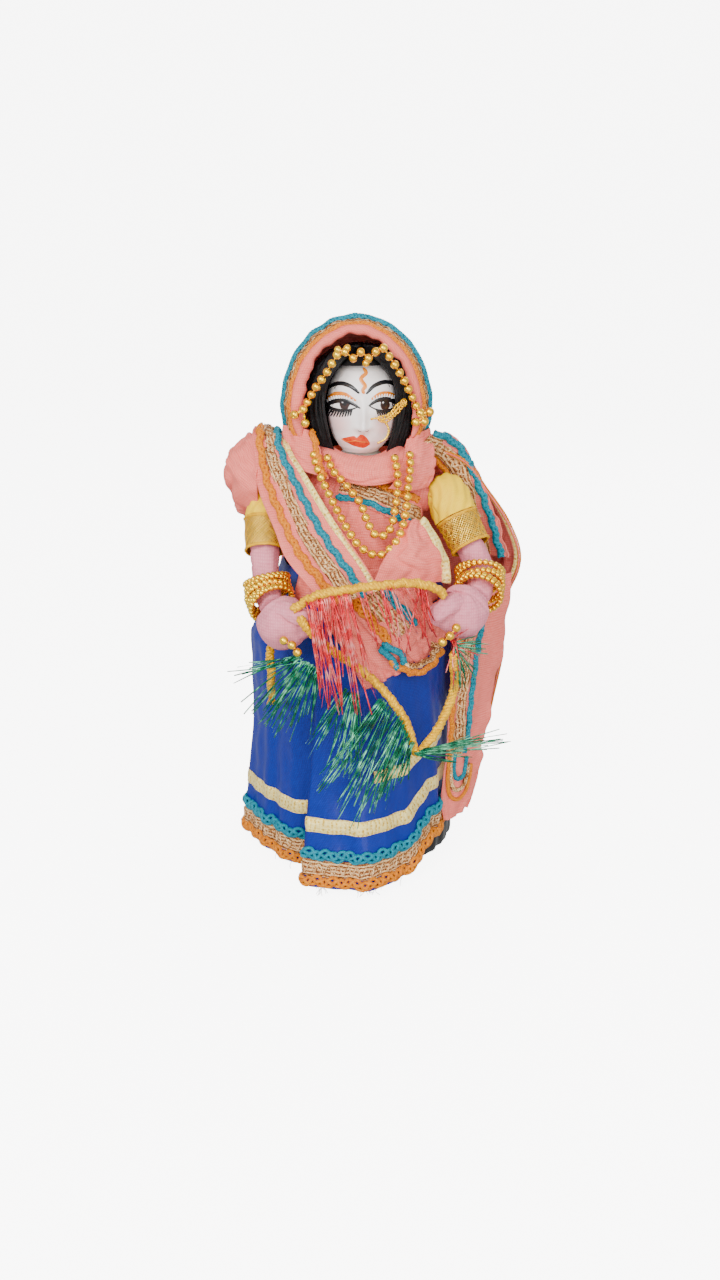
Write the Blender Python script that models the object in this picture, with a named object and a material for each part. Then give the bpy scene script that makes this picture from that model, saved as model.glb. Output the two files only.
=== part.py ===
"""A standing Rajasthani bride doll of cloth on a stick and a round base, holding a garland in both hands.

The doll faces -Y and +Z is up. The origin is the centre of the base's underside. Lengths in this
file are written in millimetres and turned into metres by MM as each mesh is made. Angles round the
body run from the front (-Y, 0 degrees) towards +X.
"""

import math

import bmesh
import bpy
from mathutils import Vector

MM = 0.001

# Base and stick
BASE_RADIUS = 43.5
BASE_HEIGHT = 12.3
COVER_THICKNESS = 1.7
POST_RADIUS = 3.0
POST_FOOT = 3.3
POST_TOP = 206.0
FIT_GAP = 0.4

# Skirt and body
SKIRT_TOP = 136.0
PADDING_SPLIT = 102.0
SKIN = 1.6
HEM_LOW = 4.0
HEM_ON_BASE = 12.9

# Shoulder joint, neck and the line between the hands
SHOULDER_Y = -7.0
SHOULDER_Z = 166.0
ROD_RADIUS = 1.0
ROD_CLEARANCE = 0.5
CUTTER_HALF_LENGTH = 60.0
ROD_HALF_LENGTH = 33.2
ARM_SIDES = 12
BEAD_RADIUS = 2.0

# Hood
HOOD_CENTRE = (-1.5, -1.0)
HOOD_RIM_Y = -13.0
HOOD_SHELL = 1.8

COLOURS = {
    "wood": (0.62, 0.47, 0.30, 1.0),
    "black_satin": (0.015, 0.015, 0.018, 1.0),
    "wire": (0.55, 0.55, 0.57, 1.0),
    "stuffing": (0.90, 0.88, 0.82, 1.0),
    "blue_satin": (0.03, 0.06, 0.42, 1.0),
    "pink_cloth": (0.93, 0.42, 0.36, 1.0),
    "skin_cloth": (0.86, 0.42, 0.48, 1.0),
    "yellow_cloth": (0.95, 0.83, 0.02, 1.0),
    "gold_braid": (0.85, 0.60, 0.15, 1.0),
    "gold_bead": (0.90, 0.58, 0.05, 1.0),
    "teal_braid": (0.0, 0.36, 0.45, 1.0),
    "orange_braid": (0.78, 0.28, 0.03, 1.0),
    "zari": (0.62, 0.48, 0.33, 1.0),
    "face": (0.93, 0.86, 0.84, 1.0),
    "hair": (0.012, 0.010, 0.010, 1.0),
    "red_tinsel": (0.70, 0.03, 0.08, 1.0),
    "green_tinsel": (0.02, 0.32, 0.12, 1.0),
}
METALLIC = {"wire": 1.0, "gold_bead": 1.0, "gold_braid": 0.7, "red_tinsel": 0.8, "green_tinsel": 0.8}
GLOSSY = {"wire", "gold_bead", "black_satin", "blue_satin", "face", "red_tinsel", "green_tinsel"}


# ---------------------------------------------------------------- helpers


def clear_scene():
    for thing in list(bpy.data.objects):
        bpy.data.objects.remove(thing, do_unlink=True)


def material(slot):
    found = bpy.data.materials.get(slot)
    if found:
        return found
    made = bpy.data.materials.new(slot)
    made.use_nodes = True
    shader = made.node_tree.nodes["Principled BSDF"]
    shader.inputs["Base Color"].default_value = COLOURS[slot]
    shader.inputs["Metallic"].default_value = METALLIC.get(slot, 0.0)
    shader.inputs["Roughness"].default_value = 0.3 if slot in GLOSSY else 0.75
    made.diffuse_color = COLOURS[slot]
    return made


def solid(name, points, faces, slot):
    """A closed mesh object from points in millimetres, with its faces pointing out."""
    shape = bmesh.new()
    corners = [shape.verts.new([c * MM for c in p]) for p in points]
    for face in faces:
        shape.faces.new([corners[i] for i in face])
    bmesh.ops.recalc_face_normals(shape, faces=shape.faces[:])
    mesh = bpy.data.meshes.new(name)
    shape.to_mesh(mesh)
    shape.free()
    mesh.shade_smooth()
    mesh.set_sharp_from_angle(angle=math.radians(40))
    thing = bpy.data.objects.new(name, mesh)
    thing.data.materials.append(material(slot))
    bpy.context.scene.collection.objects.link(thing)
    return thing


def ring_solid(name, rings, slot, loop=False):
    """A solid whose skin passes through rings of equal count; a loop joins the last to the first."""
    count = len(rings[0])
    points = [p for ring in rings for p in ring]
    faces = []
    spans = len(rings) if loop else len(rings) - 1
    for row in range(spans):
        here = row * count
        there = (row + 1) % len(rings) * count
        for i in range(count):
            j = (i + 1) % count
            faces.append((here + i, here + j, there + j, there + i))
    if not loop:
        faces.append(tuple(range(count)))
        faces.append(tuple(range((len(rings) - 1) * count, len(rings) * count)))
    return solid(name, points, faces, slot)


def ellipse(z, half_x, half_y, centre=(0.0, 0.0), count=24):
    turns = [2 * math.pi * i / count for i in range(count)]
    return [(centre[0] + half_x * math.sin(t), centre[1] - half_y * math.cos(t), z) for t in turns]


def along(table, at):
    """The value at one place in a table of (place, number or tuple), in straight steps between rows."""
    if at <= table[0][0]:
        return table[0][1]
    for (low, first), (high, second) in zip(table, table[1:]):
        if at <= high:
            share = (at - low) / (high - low)
            if isinstance(first, tuple):
                return tuple(a + (b - a) * share for a, b in zip(first, second))
            return first + (second - first) * share
    return table[-1][1]


def spline(route, share):
    """A point on the smooth curve through a route's points; share runs from 0 to 1."""
    spans = len(route) - 1
    place = min(max(share, 0.0), 1.0) * spans
    i = min(int(place), spans - 1)
    t = place - i
    before = route[max(i - 1, 0)]
    start = route[i]
    end = route[i + 1]
    after = route[min(i + 2, spans)]
    result = []
    for a, b, c, d in zip(before, start, end, after):
        curve = 2 * b + (c - a) * t + (2 * a - 5 * b + 4 * c - d) * t * t
        curve += (3 * b - a - 3 * c + d) * t * t * t
        result.append(curve / 2)
    return tuple(result)


def cord(name, route, radius, count, slot):
    """A round tube along the smooth curve through the route's points."""
    curve = bpy.data.curves.new(name, "CURVE")
    curve.dimensions = "3D"
    curve.bevel_depth = radius * MM
    curve.bevel_resolution = 2
    curve.use_fill_caps = True
    line = curve.splines.new("POLY")
    line.points.add(count - 1)
    for i in range(count):
        place = spline(route, i / (count - 1))
        line.points[i].co = (place[0] * MM, place[1] * MM, place[2] * MM, 1.0)
    thing = bpy.data.objects.new(name, curve)
    thing.data.materials.append(material(slot))
    bpy.context.scene.collection.objects.link(thing)
    return thing


def frames_along(route, shares):
    """Rings' centres and two cross directions at each share of a route."""
    frames = []
    for share in shares:
        centre = Vector(spline(route, share))
        ahead = Vector(spline(route, share + 0.02)) - Vector(spline(route, share - 0.02))
        ahead.normalize()
        across = ahead.cross(Vector((0.0, 0.3, 1.0))).normalized()
        frames.append((centre, across, ahead.cross(across).normalized()))
    return frames


def ring_at(frame, radius, count=ARM_SIDES):
    centre, across, up = frame
    turns = [2 * math.pi * i / count for i in range(count)]
    return [tuple(centre + radius * (math.cos(t) * across + math.sin(t) * up)) for t in turns]


def sleeve_solid(name, route, start, end, inner, outer, slot, steps=5):
    """A tube wall along part of a route; inner and outer give its radii at a share of the route."""
    shares = [start + (end - start) * i / (steps - 1) for i in range(steps)]
    frames = frames_along(route, shares)
    rings = [ring_at(f, outer(s)) for f, s in zip(frames, shares)]
    rings += [ring_at(f, inner(s)) for f, s in reversed(list(zip(frames, shares)))]
    return ring_solid(name, rings, slot, loop=True)


def patch_point(rows, across, down):
    """A point on the smooth cloth through a grid of points; across and down run from 0 to 1."""
    return Vector(spline([spline(row, across) for row in rows], down))


def patch_normal(rows, across, down):
    step = 0.01
    side = patch_point(rows, min(across + step, 1), down) - patch_point(rows, max(across - step, 0), down)
    fall = patch_point(rows, across, min(down + step, 1)) - patch_point(rows, across, max(down - step, 0))
    return fall.cross(side).normalized()


def cloth(name, rows, slot, low, high, area=(0.0, 1.0, 0.0, 1.0), cells=(8, 12)):
    """A closed sheet over part of a cloth grid, from low to high millimetres off its middle surface."""
    wide, tall = cells
    left, right, top, bottom = area
    layers = []
    for lift in (low, high):
        layer = []
        for j in range(tall + 1):
            down = top + (bottom - top) * j / tall
            for i in range(wide + 1):
                across = left + (right - left) * i / wide
                place = patch_point(rows, across, down) + lift * patch_normal(rows, across, down)
                layer.append(tuple(place))
        layers.append(layer)
    return layered(name, layers, wide + 1, tall + 1, slot)


def layered(name, layers, wide, tall, slot):
    """A solid between two grids of wide by tall points."""
    size = wide * tall
    faces = []
    for j in range(tall - 1):
        for i in range(wide - 1):
            a = j * wide + i
            faces.append((a, a + 1, a + 1 + wide, a + wide))
            faces.append((size + a, size + a + wide, size + a + 1 + wide, size + a + 1))
    rim = [i for i in range(wide)]
    rim += [j * wide + wide - 1 for j in range(1, tall)]
    rim += [(tall - 1) * wide + i for i in range(wide - 2, -1, -1)]
    rim += [j * wide for j in range(tall - 2, 0, -1)]
    for a, b in zip(rim, rim[1:] + rim[:1]):
        faces.append((a, b, size + b, size + a))
    return solid(name, layers[0] + layers[1], faces, slot)


def cut(thing, cutter):
    cutter.hide_render = True
    cutter.display_type = "WIRE"
    boolean = thing.modifiers.new("cut", "BOOLEAN")
    boolean.operation = "DIFFERENCE"
    boolean.solver = "EXACT"
    boolean.object = cutter


def box(name, low, high):
    points = [(x, y, z) for x in (low[0], high[0]) for y in (low[1], high[1]) for z in (low[2], high[2])]
    faces = [(0, 1, 3, 2), (4, 6, 7, 5), (0, 4, 5, 1), (2, 3, 7, 6), (0, 2, 6, 4), (1, 5, 7, 3)]
    return solid(name, points, faces, "wood")


# ---------------------------------------------------------------- body outlines

# Skirt radius by angle at four heights. The front panel lies over the left one and ends in a
# sharp pleat between -26 and -16 degrees.
SKIRT_OUTLINES = [
    (4.0, [(-180, 48), (-150, 49), (-120, 53), (-90, 55), (-60, 53.5), (-40, 52), (-26, 50), (-16, 68.5),
           (0, 67.5), (12, 63.5), (22, 59), (44, 48.5), (63, 45.5), (90, 45), (120, 45.5),
           (150, 46.5), (180, 48)]),
    (60.0, [(-180, 42), (-150, 44), (-120, 47), (-90, 49), (-60, 47.5), (-40, 46), (-26, 45.5), (-16, 55.5),
            (0, 54.5), (12, 53), (22, 51), (44, 46), (63, 43), (90, 41), (120, 40), (150, 41), (180, 42)]),
    (102.0, [(-180, 36), (-150, 38), (-120, 44), (-90, 49.5), (-60, 47.5), (-40, 46), (-26, 45.5),
             (-16, 47),
             (0, 47), (12, 46.5), (22, 46), (44, 43), (63, 42), (90, 41), (120, 38), (150, 36), (180, 36)]),
    (136.0, [(-180, 27), (-150, 28.5), (-120, 32), (-90, 34), (-60, 34.5), (-40, 36.5), (-26, 38),
             (-16, 38.5),
             (0, 38.8), (12, 38.5), (22, 38), (44, 36), (63, 35), (90, 34), (120, 32), (150, 28.5),
             (180, 27)]),
    (150.0, [(-180, 22), (-90, 31), (-40, 35), (0, 36), (44, 34), (90, 31), (180, 22)]),
]
SKIRT_ANGLES = sorted({-180.0 + 10 * i for i in range(36)} | {-26.0, -16.0})

# Half-width, front depth and back depth of the stuffed body by height.
BODY_OUTLINES = [
    (104.0, (37.0, 40.0, 30.0)),
    (122.0, (32.0, 38.0, 25.0)),
    (136.0, (28.0, 35.0, 21.0)),
    (150.0, (26.5, 31.0, 18.0)),
    (162.0, (27.0, 25.0, 15.0)),
    (171.0, (25.0, 19.0, 13.0)),
    (178.0, (17.0, 13.5, 10.5)),
    (184.3, (7.0, 8.0, 7.0)),
]


def skirt_radius(angle, z):
    return along([(height, along(outline, angle)) for height, outline in SKIRT_OUTLINES], z)


def body_radius(angle, z):
    half_width, front, back = along(BODY_OUTLINES, z)
    turn = math.radians(angle)
    depth = front if math.cos(turn) > 0 else back
    return 1 / math.hypot(math.sin(turn) / half_width, math.cos(turn) / depth)


def round_body(angle, radius, z):
    turn = math.radians(angle)
    return (radius * math.sin(turn), -radius * math.cos(turn), z)


def hem_height(angle):
    """The hem hangs below the base's top, except on the right, where it rests on the base."""
    edges = [(-180, 0.0), (22, 0.0), (38, 1.0), (150, 1.0), (172, 0.0), (180, 0.0)]
    return HEM_LOW + (HEM_ON_BASE - HEM_LOW) * along(edges, angle)


def skirt_ring(inset, height):
    """A ring on the skirt's surface moved in by inset; height gives z at an angle."""
    return [round_body(a, skirt_radius(a, height(a)) - inset, height(a)) for a in SKIRT_ANGLES]


def body_ring(z, outset, angles=SKIRT_ANGLES):
    return [round_body(a, body_radius(a, z) + outset, z) for a in angles]


# ---------------------------------------------------------------- base and core


def make_base():
    socket = POST_RADIUS + FIT_GAP
    board_radius = BASE_RADIUS - COVER_THICKNESS - 0.3
    board_top = BASE_HEIGHT - COVER_THICKNESS - 0.3
    rings = [
        ellipse(0.0, board_radius - 0.6, board_radius - 0.6, count=32),
        ellipse(0.8, board_radius, board_radius, count=32),
        ellipse(board_top, board_radius, board_radius, count=32),
        ellipse(board_top, socket, socket, count=32),
        ellipse(POST_FOOT - 0.3, socket, socket, count=32),
    ]
    ring_solid("base_board", rings, "wood")
    inside = BASE_RADIUS - COVER_THICKNESS
    rings = [
        ellipse(0.4, BASE_RADIUS, BASE_RADIUS, count=32),
        ellipse(BASE_HEIGHT - 1.2, BASE_RADIUS, BASE_RADIUS, count=32),
        ellipse(BASE_HEIGHT, BASE_RADIUS - 1.2, BASE_RADIUS - 1.2, count=32),
        ellipse(BASE_HEIGHT, socket, socket, count=32),
        ellipse(BASE_HEIGHT - COVER_THICKNESS, socket, socket, count=32),
        ellipse(BASE_HEIGHT - COVER_THICKNESS, inside, inside, count=32),
        ellipse(0.4, inside, inside, count=32),
    ]
    ring_solid("base_cover", rings, "black_satin", loop=True)


def make_post():
    heights = (POST_FOOT, 60.0, 130.0, POST_TOP - 1.0)
    rings = [ellipse(z, POST_RADIUS, POST_RADIUS, count=16) for z in heights]
    rings.append(ellipse(POST_TOP, POST_RADIUS - 1.0, POST_RADIUS - 1.0, count=16))
    ring_solid("body_post", rings, "wood")


def bore_ring(z):
    radius = POST_RADIUS + FIT_GAP
    return [round_body(a, radius, z) for a in SKIRT_ANGLES]


def make_padding():
    inset = SKIN + 0.8
    heights = (BASE_HEIGHT + 0.8, SKIRT_OUTLINES[1][0], PADDING_SPLIT)
    rings = [skirt_ring(inset, lambda angle, z=z: z) for z in heights]
    rings += [bore_ring(PADDING_SPLIT), bore_ring(BASE_HEIGHT + 0.8)]
    ring_solid("skirt_padding", rings, "stuffing", loop=True)


def rod(name, radius, half_length):
    """A round rod across the shoulders, along X."""
    turns = [2 * math.pi * i / 12 for i in range(12)]
    circle = [(SHOULDER_Y + radius * math.cos(t), SHOULDER_Z + radius * math.sin(t)) for t in turns]
    rings = [[(x, y, z) for y, z in circle] for x in (-half_length, half_length)]
    return ring_solid(name, rings, "wire")


def make_body():
    angles = [-180 + 15 * i for i in range(24)]
    bore = POST_RADIUS + FIT_GAP
    heights = [row[0] for row in BODY_OUTLINES]
    rings = [body_ring(z, 0.0, angles) for z in heights]
    rings += [[round_body(a, bore, z) for a in angles] for z in (heights[-1], heights[0])]
    padding = ring_solid("body_padding", rings, "stuffing", loop=True)
    heights = (122.0, 136.0, 150.0, 162.0, 171.0, 178.0, 181.5)
    rings = [body_ring(z, 1.9, angles) for z in heights]
    rings += [body_ring(z, 0.9, angles) for z in reversed(heights)]
    blouse = ring_solid("blouse", rings, "yellow_cloth", loop=True)
    cut(padding, rod("cut_padding", ROD_RADIUS + ROD_CLEARANCE, CUTTER_HALF_LENGTH))
    cut(blouse, rod("cut_blouse", ROD_RADIUS + ROD_CLEARANCE, CUTTER_HALF_LENGTH))
    rod("shoulder_wire", ROD_RADIUS, ROD_HALF_LENGTH)


# ---------------------------------------------------------------- skirt

# Trims on the skirt: name, colour, lower and upper edge above the hem.
SKIRT_TRIMS = [
    ("skirt_orange_braid", "orange_braid", 0.4, 5.2),
    ("skirt_zari_strip", "zari", 5.7, 11.7),
    ("skirt_teal_braid", "teal_braid", 12.2, 17.2),
    ("skirt_gold_lace", "gold_braid", 24.0, 30.5),
]


def make_skirt():
    levels = [hem_height]
    levels += [lambda angle, z=z: z for z in (32.0, 60.0, 81.0, 102.0, 119.0, SKIRT_TOP)]
    rings = [skirt_ring(0.0, level) for level in levels]
    rings += [skirt_ring(SKIN, level) for level in reversed(levels)]
    ring_solid("skirt", rings, "blue_satin", loop=True)
    for name, slot, low, high in SKIRT_TRIMS:
        rings = []
        for lift, edge in ((1.7, low), (1.7, high), (0.6, high), (0.6, low)):
            rings.append(skirt_ring(-lift, lambda angle, edge=edge: hem_height(angle) + edge))
        ring_solid(name, rings, slot, loop=True)


# ---------------------------------------------------------------- saree

# Each cloth grid is rows of points from top to bottom; a row runs from the doll's right (-X) to +X
# seen from outside. Normals point outwards.
SASH = [
    [(-44, -13, 186), (-37, -15, 187.5), (-31, -14, 187)],
    [(-43, -19, 171), (-32, -24, 174), (-21, -24, 176)],
    [(-36, -29.5, 156), (-24, -34, 159), (-11, -34, 162)],
    [(-31, -38, 146), (-17, -42, 149.5), (-4, -40.5, 153)],
    [(-21.5, -48, 137), (-9, -49, 140.5), (3, -46, 144)],
]
SHOULDER_HUMP = [
    [(-30, 20, 180), (-33, 6, 186), (-34, -6, 186)],
    [(-38, 22, 184), (-43, 6, 191), (-43, -8.5, 191)],
    [(-47, 24, 178), (-54, 6, 184), (-53, -9, 184)],
    [(-50, 26, 168), (-58, 6, 171), (-57.5, -8, 171)],
    [(-46, 28, 157), (-54, 10, 159), (-54, -2, 160)],
    [(-42, 30, 149), (-48, 14, 151), (-50, 4, 153)],
]
SIDE_PLEATS = [
    [(21, -32.5, 160.5), (25, -31.5, 161), (30, -27.5, 160)],
    [(20.5, -37.5, 151), (27, -37.5, 152), (34, -32, 150)],
    [(10, -46, 143), (24, -45, 141), (36, -36, 139)],
]
BACK_DRAPE = [
    [(30, -5, 186.2), (24, 14, 186.2), (0, 22, 186.2), (-18, 18, 185.5)],
    [(46, -3, 179), (37, 18, 180), (2, 27, 181), (-20, 23, 180)],
    [(56, -2, 166), (46, 23, 167), (3, 33, 168), (-23, 32, 168)],
    [(66, -1, 150), (52, 27, 151), (3, 38, 152), (-29, 36, 152)],
    [(71, 0, 132), (55, 29, 132), (3, 42, 132), (-36, 39, 132)],
    [(61.5, -2, 108), (52, 30, 108), (2, 45, 108), (-41, 40, 108)],
    [(65, -3, 92), (53, 30, 90), (1, 48, 90), (-43, 41, 90)],
    [(59, -3, 62), (50, 31, 60), (0, 52, 60), (-42, 44, 60)],
]
PALLU_END = [
    [(46, -23, 104), (56, -18, 104.5), (66, -9, 105)],
    [(44.5, -23, 80), (54, -18, 80), (62, -10, 80)],
    [(44, -23, 55), (51, -19, 55), (58, -12, 55)],
    [(41, -27, 40), (49.5, -22, 40), (56, -14, 40)],
    [(42, -27.5, 27), (48, -23, 27), (54, -15, 27)],
    [(44, -27, 18), (47.5, -23, 17.5), (51, -18, 19)],
]


def body_cloth(name, slot, radius, edges, low, high, cells):
    """A sheet wrapped round a body outline between two edges given as (angle, z) routes."""
    wide, tall = cells
    layers = []
    for lift in (low, high):
        layer = []
        for j in range(tall + 1):
            left = spline(edges[0], j / tall)
            right = spline(edges[1], j / tall)
            for i in range(wide + 1):
                angle = left[0] + (right[0] - left[0]) * i / wide
                z = left[1] + (right[1] - left[1]) * i / wide
                layer.append(round_body(angle, radius(angle, z) + lift, z))
        layers.append(layer)
    return layered(name, layers, wide + 1, tall + 1, slot)


def make_saree():
    chest = ([(-62, 181), (-62, 168), (-60, 152), (-58, 139)], [(62, 181), (64, 168), (62, 152), (60, 139)])
    body_cloth("chest_drape", "pink_cloth", body_radius, chest, 2.8, 4.4, (12, 8))
    hip = ([(-34, 134.5), (-22, 122), (-8, 108), (2, 92)], [(48, 135), (50, 128), (49, 118), (46, 106)])
    body_cloth("hip_drape", "pink_cloth", skirt_radius, hip, 1.2, 3.0, (9, 8))
    band = ([(-6, 133), (2, 124), (12, 116), (22, 110)], [(14, 134), (20, 128), (28, 122), (36, 118)])
    body_cloth("hip_zari_border", "zari", skirt_radius, band, 3.8, 4.8, (4, 8))
    cloth("chest_sash", SASH, "pink_cloth", -0.9, 0.9, cells=(6, 12))
    bands = [
        ("sash_orange_braid", "orange_braid", 0.20, 0.33),
        ("sash_zari_strip", "zari", 0.36, 0.60),
        ("sash_teal_braid", "teal_braid", 0.63, 0.75),
        ("sash_gold_lace", "gold_braid", 0.84, 0.97),
    ]
    for name, slot, left, right in bands:
        cloth(name, SASH, slot, 1.4, 2.4, (left, right, 0.0, 1.0), (2, 12))
    cloth("shoulder_pallu", SHOULDER_HUMP, "pink_cloth", -0.9, 0.9, cells=(6, 10))
    cloth("side_pleats", SIDE_PLEATS, "pink_cloth", -1.0, 1.0, cells=(6, 5))
    cloth("back_drape", BACK_DRAPE, "pink_cloth", -0.9, 0.9, cells=(10, 10))
    cloth("veil_zari_border", BACK_DRAPE, "zari", 1.4, 2.4, (0.005, 0.10, 0.0, 0.6), (2, 6))
    cloth("pallu_end", PALLU_END, "pink_cloth", -0.9, 0.9, cells=(4, 10))
    cloth("pallu_end_border", PALLU_END, "zari", 1.4, 2.4, (0.0, 1.0, 0.7, 1.0), (4, 3))


# ---------------------------------------------------------------- necklaces, head and hood

NECKLACE_OUTER = [
    (-17.5, -23, 180), (-14.5, -28, 175), (-10, -35, 167), (-5, -40, 159), (0, -42.5, 152.5),
    (7, -43.5, 149),
    (13, -42.5, 152), (17, -40, 158), (19, -34, 167), (19.5, -28, 175), (19, -23, 180),
]
NECKLACE_INNER = [
    (-11, -22.5, 180), (-5, -28, 176), (0, -33, 169), (3, -37.5, 162), (6, -39.5, 157), (10, -39.5, 156.5),
    (13, -37.5, 160), (14.5, -33, 168), (15, -28, 175), (14, -23, 180),
]
HEAD_RINGS = [
    (225.0, 3.0, 0.6), (223.5, 6.8, 0.8), (220.0, 10.6, 1.0), (214.0, 13.8, 1.0), (205.0, 15.4, 1.0),
    (197.0, 14.6, 1.0), (191.0, 12.4, 0.8), (187.5, 9.8, 0.5), (185.2, 7.8, 0.2),
]
HAIR_OUTSIDE = [
    (183.2, (17.5, 16.0)), (190.0, (20.0, 18.0)), (205.0, (23.0, 19.5)), (215.0, (22.0, 19.0)),
    (222.0, (18.5, 16.5)), (227.0, (12.0, 11.0)), (229.5, (3.5, 3.5)),
]
HOOD_OUTSIDE = [
    (187.8, (25.0, 23.0)), (195.0, (29.0, 25.0)), (205.0, (30.3, 26.0)), (215.0, (28.6, 25.5)),
    (225.0, (24.6, 23.0)), (233.0, (18.2, 18.2)), (238.0, (10.5, 13.0)), (240.4, (3.0, 3.2)),
]
HOOD_MIDDLE = 208.0  # height of the middle line that the hood's rim arches round
HEAD_BEADS = [
    (-22, -16, 207.5), (-19.5, -18, 212), (-17, -19.5, 216), (-14, -21, 220), (-11, -22, 225),
    (-7.5, -22.5, 229.5),
    (-2.5, -23, 226.5), (0.5, -23, 229), (4, -23, 226.5), (8.5, -22.5, 231), (12, -22, 227),
    (15, -21, 222.5),
    (18, -19.5, 217.5), (20.5, -18, 212.5), (23.5, -16, 206),
]
NOSE_RING = [
    (8.0, -20.5, 192.5), (11.5, -20.5, 196.0), (10.0, -21.0, 200.5), (4.5, -22.5, 203.0),
    (8.5, -22.5, 204.5), (13.5, -20.5, 206.0), (18.0, -18.0, 207.5),
]


def make_necklaces():
    cord("necklace_outer", NECKLACE_OUTER, BEAD_RADIUS, 20, "gold_bead")
    cord("necklace_inner", NECKLACE_INNER, BEAD_RADIUS, 16, "gold_bead")


def make_head():
    rings = []
    for z, radius, shift in HEAD_RINGS:
        rings.append(ellipse(z, radius, radius, (shift, -4.0 * min(1.0, 0.4 + 0.6 * shift)), 24))
    bore = POST_RADIUS + FIT_GAP
    rings += [ellipse(z, bore, bore, (0.0, 0.0), 24) for z in (HEAD_RINGS[-1][0], POST_TOP + 1.0)]
    ring_solid("head", rings, "face")


def make_hair():
    centre = (0.0, -1.0)
    rings = [ellipse(z, *size, centre, 24) for z, size in reversed(HAIR_OUTSIDE)]
    rings += [ellipse(183.2, 11.5, 11.5, (0.5, -2.0), 24), ellipse(191.0, 13.4, 13.4, (0.8, -3.0), 24)]
    inside = [(197.0, 15.3), (205.0, 16.1), (214.0, 14.5), (220.5, 11.3), (224.3, 7.4), (225.8, 3.6)]
    rings += [ellipse(z, r, r, (1.0, -4.0), 24) for z, r in inside]
    hair = ring_solid("hair", rings, "hair")
    cut(hair, box("cut_hair", (-60, -60, 170), (60, -11, 222.5)))


def make_hood():
    rings = [ellipse(z, *size, HOOD_CENTRE, 28) for z, size in reversed(HOOD_OUTSIDE)]
    for z, (half_x, half_y) in HOOD_OUTSIDE[:-1]:
        drop = 0.0 if z < HOOD_OUTSIDE[1][0] else HOOD_SHELL / 2
        rings.append(ellipse(z - drop, half_x - HOOD_SHELL, half_y - HOOD_SHELL, HOOD_CENTRE, 28))
    rings.append(ellipse(HOOD_OUTSIDE[-1][0] - HOOD_SHELL, 2.0, 2.0, HOOD_CENTRE, 28))
    hood = ring_solid("hood", rings, "pink_cloth")
    cut(hood, box("cut_hood", (-60, -60, 170), (60, HOOD_RIM_Y, 250)))
    bands = [
        ("hood_orange_braid", "orange_braid", -12.0, -8.8),
        ("hood_zari_strip", "zari", -8.3, -5.6),
        ("hood_teal_braid", "teal_braid", -5.1, -2.2),
    ]
    for name, slot, front, back in bands:
        hood_band(name, slot, front, back)


def hood_reach(y, turn):
    """How far the hood's outside is from its middle line, at depth y and a turn from straight up."""
    low, high = 0.0, 60.0
    for _ in range(30):
        reach = (low + high) / 2
        x = reach * math.sin(turn)
        z = HOOD_MIDDLE + reach * math.cos(turn)
        half_x, half_y = along(HOOD_OUTSIDE, z)
        inside = z < HOOD_OUTSIDE[-1][0] and (x / half_x) ** 2 + ((y - HOOD_CENTRE[1]) / half_y) ** 2 < 1
        low, high = (reach, high) if inside else (low, reach)
    return low


def hood_band(name, slot, front, back):
    """A trim along the hood's rim, an arch from its left bottom over the crown to its right bottom."""
    stations = [math.radians(-122 + 244 * i / 24) for i in range(25)]
    layers = []
    for lift in (0.8, 1.8):
        layer = []
        for turn in stations:
            for y in (front, back):
                reach = hood_reach(y, turn) + lift
                x = HOOD_CENTRE[0] + reach * math.sin(turn)
                layer.append((x, y, HOOD_MIDDLE + reach * math.cos(turn)))
        layers.append(layer)
    layered(name, layers, 2, len(stations), slot)


def make_head_beads():
    cord("forehead_beads", HEAD_BEADS, BEAD_RADIUS, 27, "gold_bead")
    left = [(-27.5, -16.5, 203), (-25.5, -17, 204), (-23.5, -17, 202), (-23.2, -17, 198.5)]
    right = [(30.0, -15.5, 203), (27.5, -16.5, 203.2), (25.0, -17, 201), (25.5, -17, 198.5)]
    cord("left_ear_beads", left, BEAD_RADIUS, 8, "gold_bead")
    cord("right_ear_beads", right, BEAD_RADIUS, 8, "gold_bead")
    cord("nose_ring", NOSE_RING, 0.8, 18, "gold_braid")


# ---------------------------------------------------------------- arms

# Shoulder to wrist, then the hand. The first points lie on the shoulder's hinge line.
ARMS = {
    "left": {
        "route": [(-34.6, -7, 166), (-38.5, -9, 164.5), (-41, -13.5, 157.5), (-41, -20, 148),
                  (-40.5, -28, 138),
                  (-38.5, -37, 129), (-36.5, -42.5, 126)],
        "hand": [(-36, -44, 125.2), (-33.5, -47, 123.5), (-31.5, -51, 121.5), (-24.5, -53.5, 122.5),
                 (-16, -53.5, 125)],
        "ring": [(-31, -64.5, 119), (-27.5, -65, 117), (-25.5, -65, 114)],
    },
    "right": {
        "route": [(34.6, -7, 166), (37.5, -12, 167), (41, -16.5, 159.5), (46, -21, 150), (50.5, -27, 141),
                  (51, -35.5, 133), (49, -41, 130)],
        "hand": [(48, -43, 129.5), (45, -46.5, 128), (41.5, -51, 126), (35.5, -54, 126.5),
                 (28, -55, 127.5)],
        "ring": [(39, -64.5, 124.5), (36.5, -65.5, 121.5), (33.5, -65, 118.5)],
    },
}


def arm_radius(share):
    return along([(0.0, 5.6), (0.3, 6.6), (0.6, 6.0), (1.0, 5.2)], share)


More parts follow.
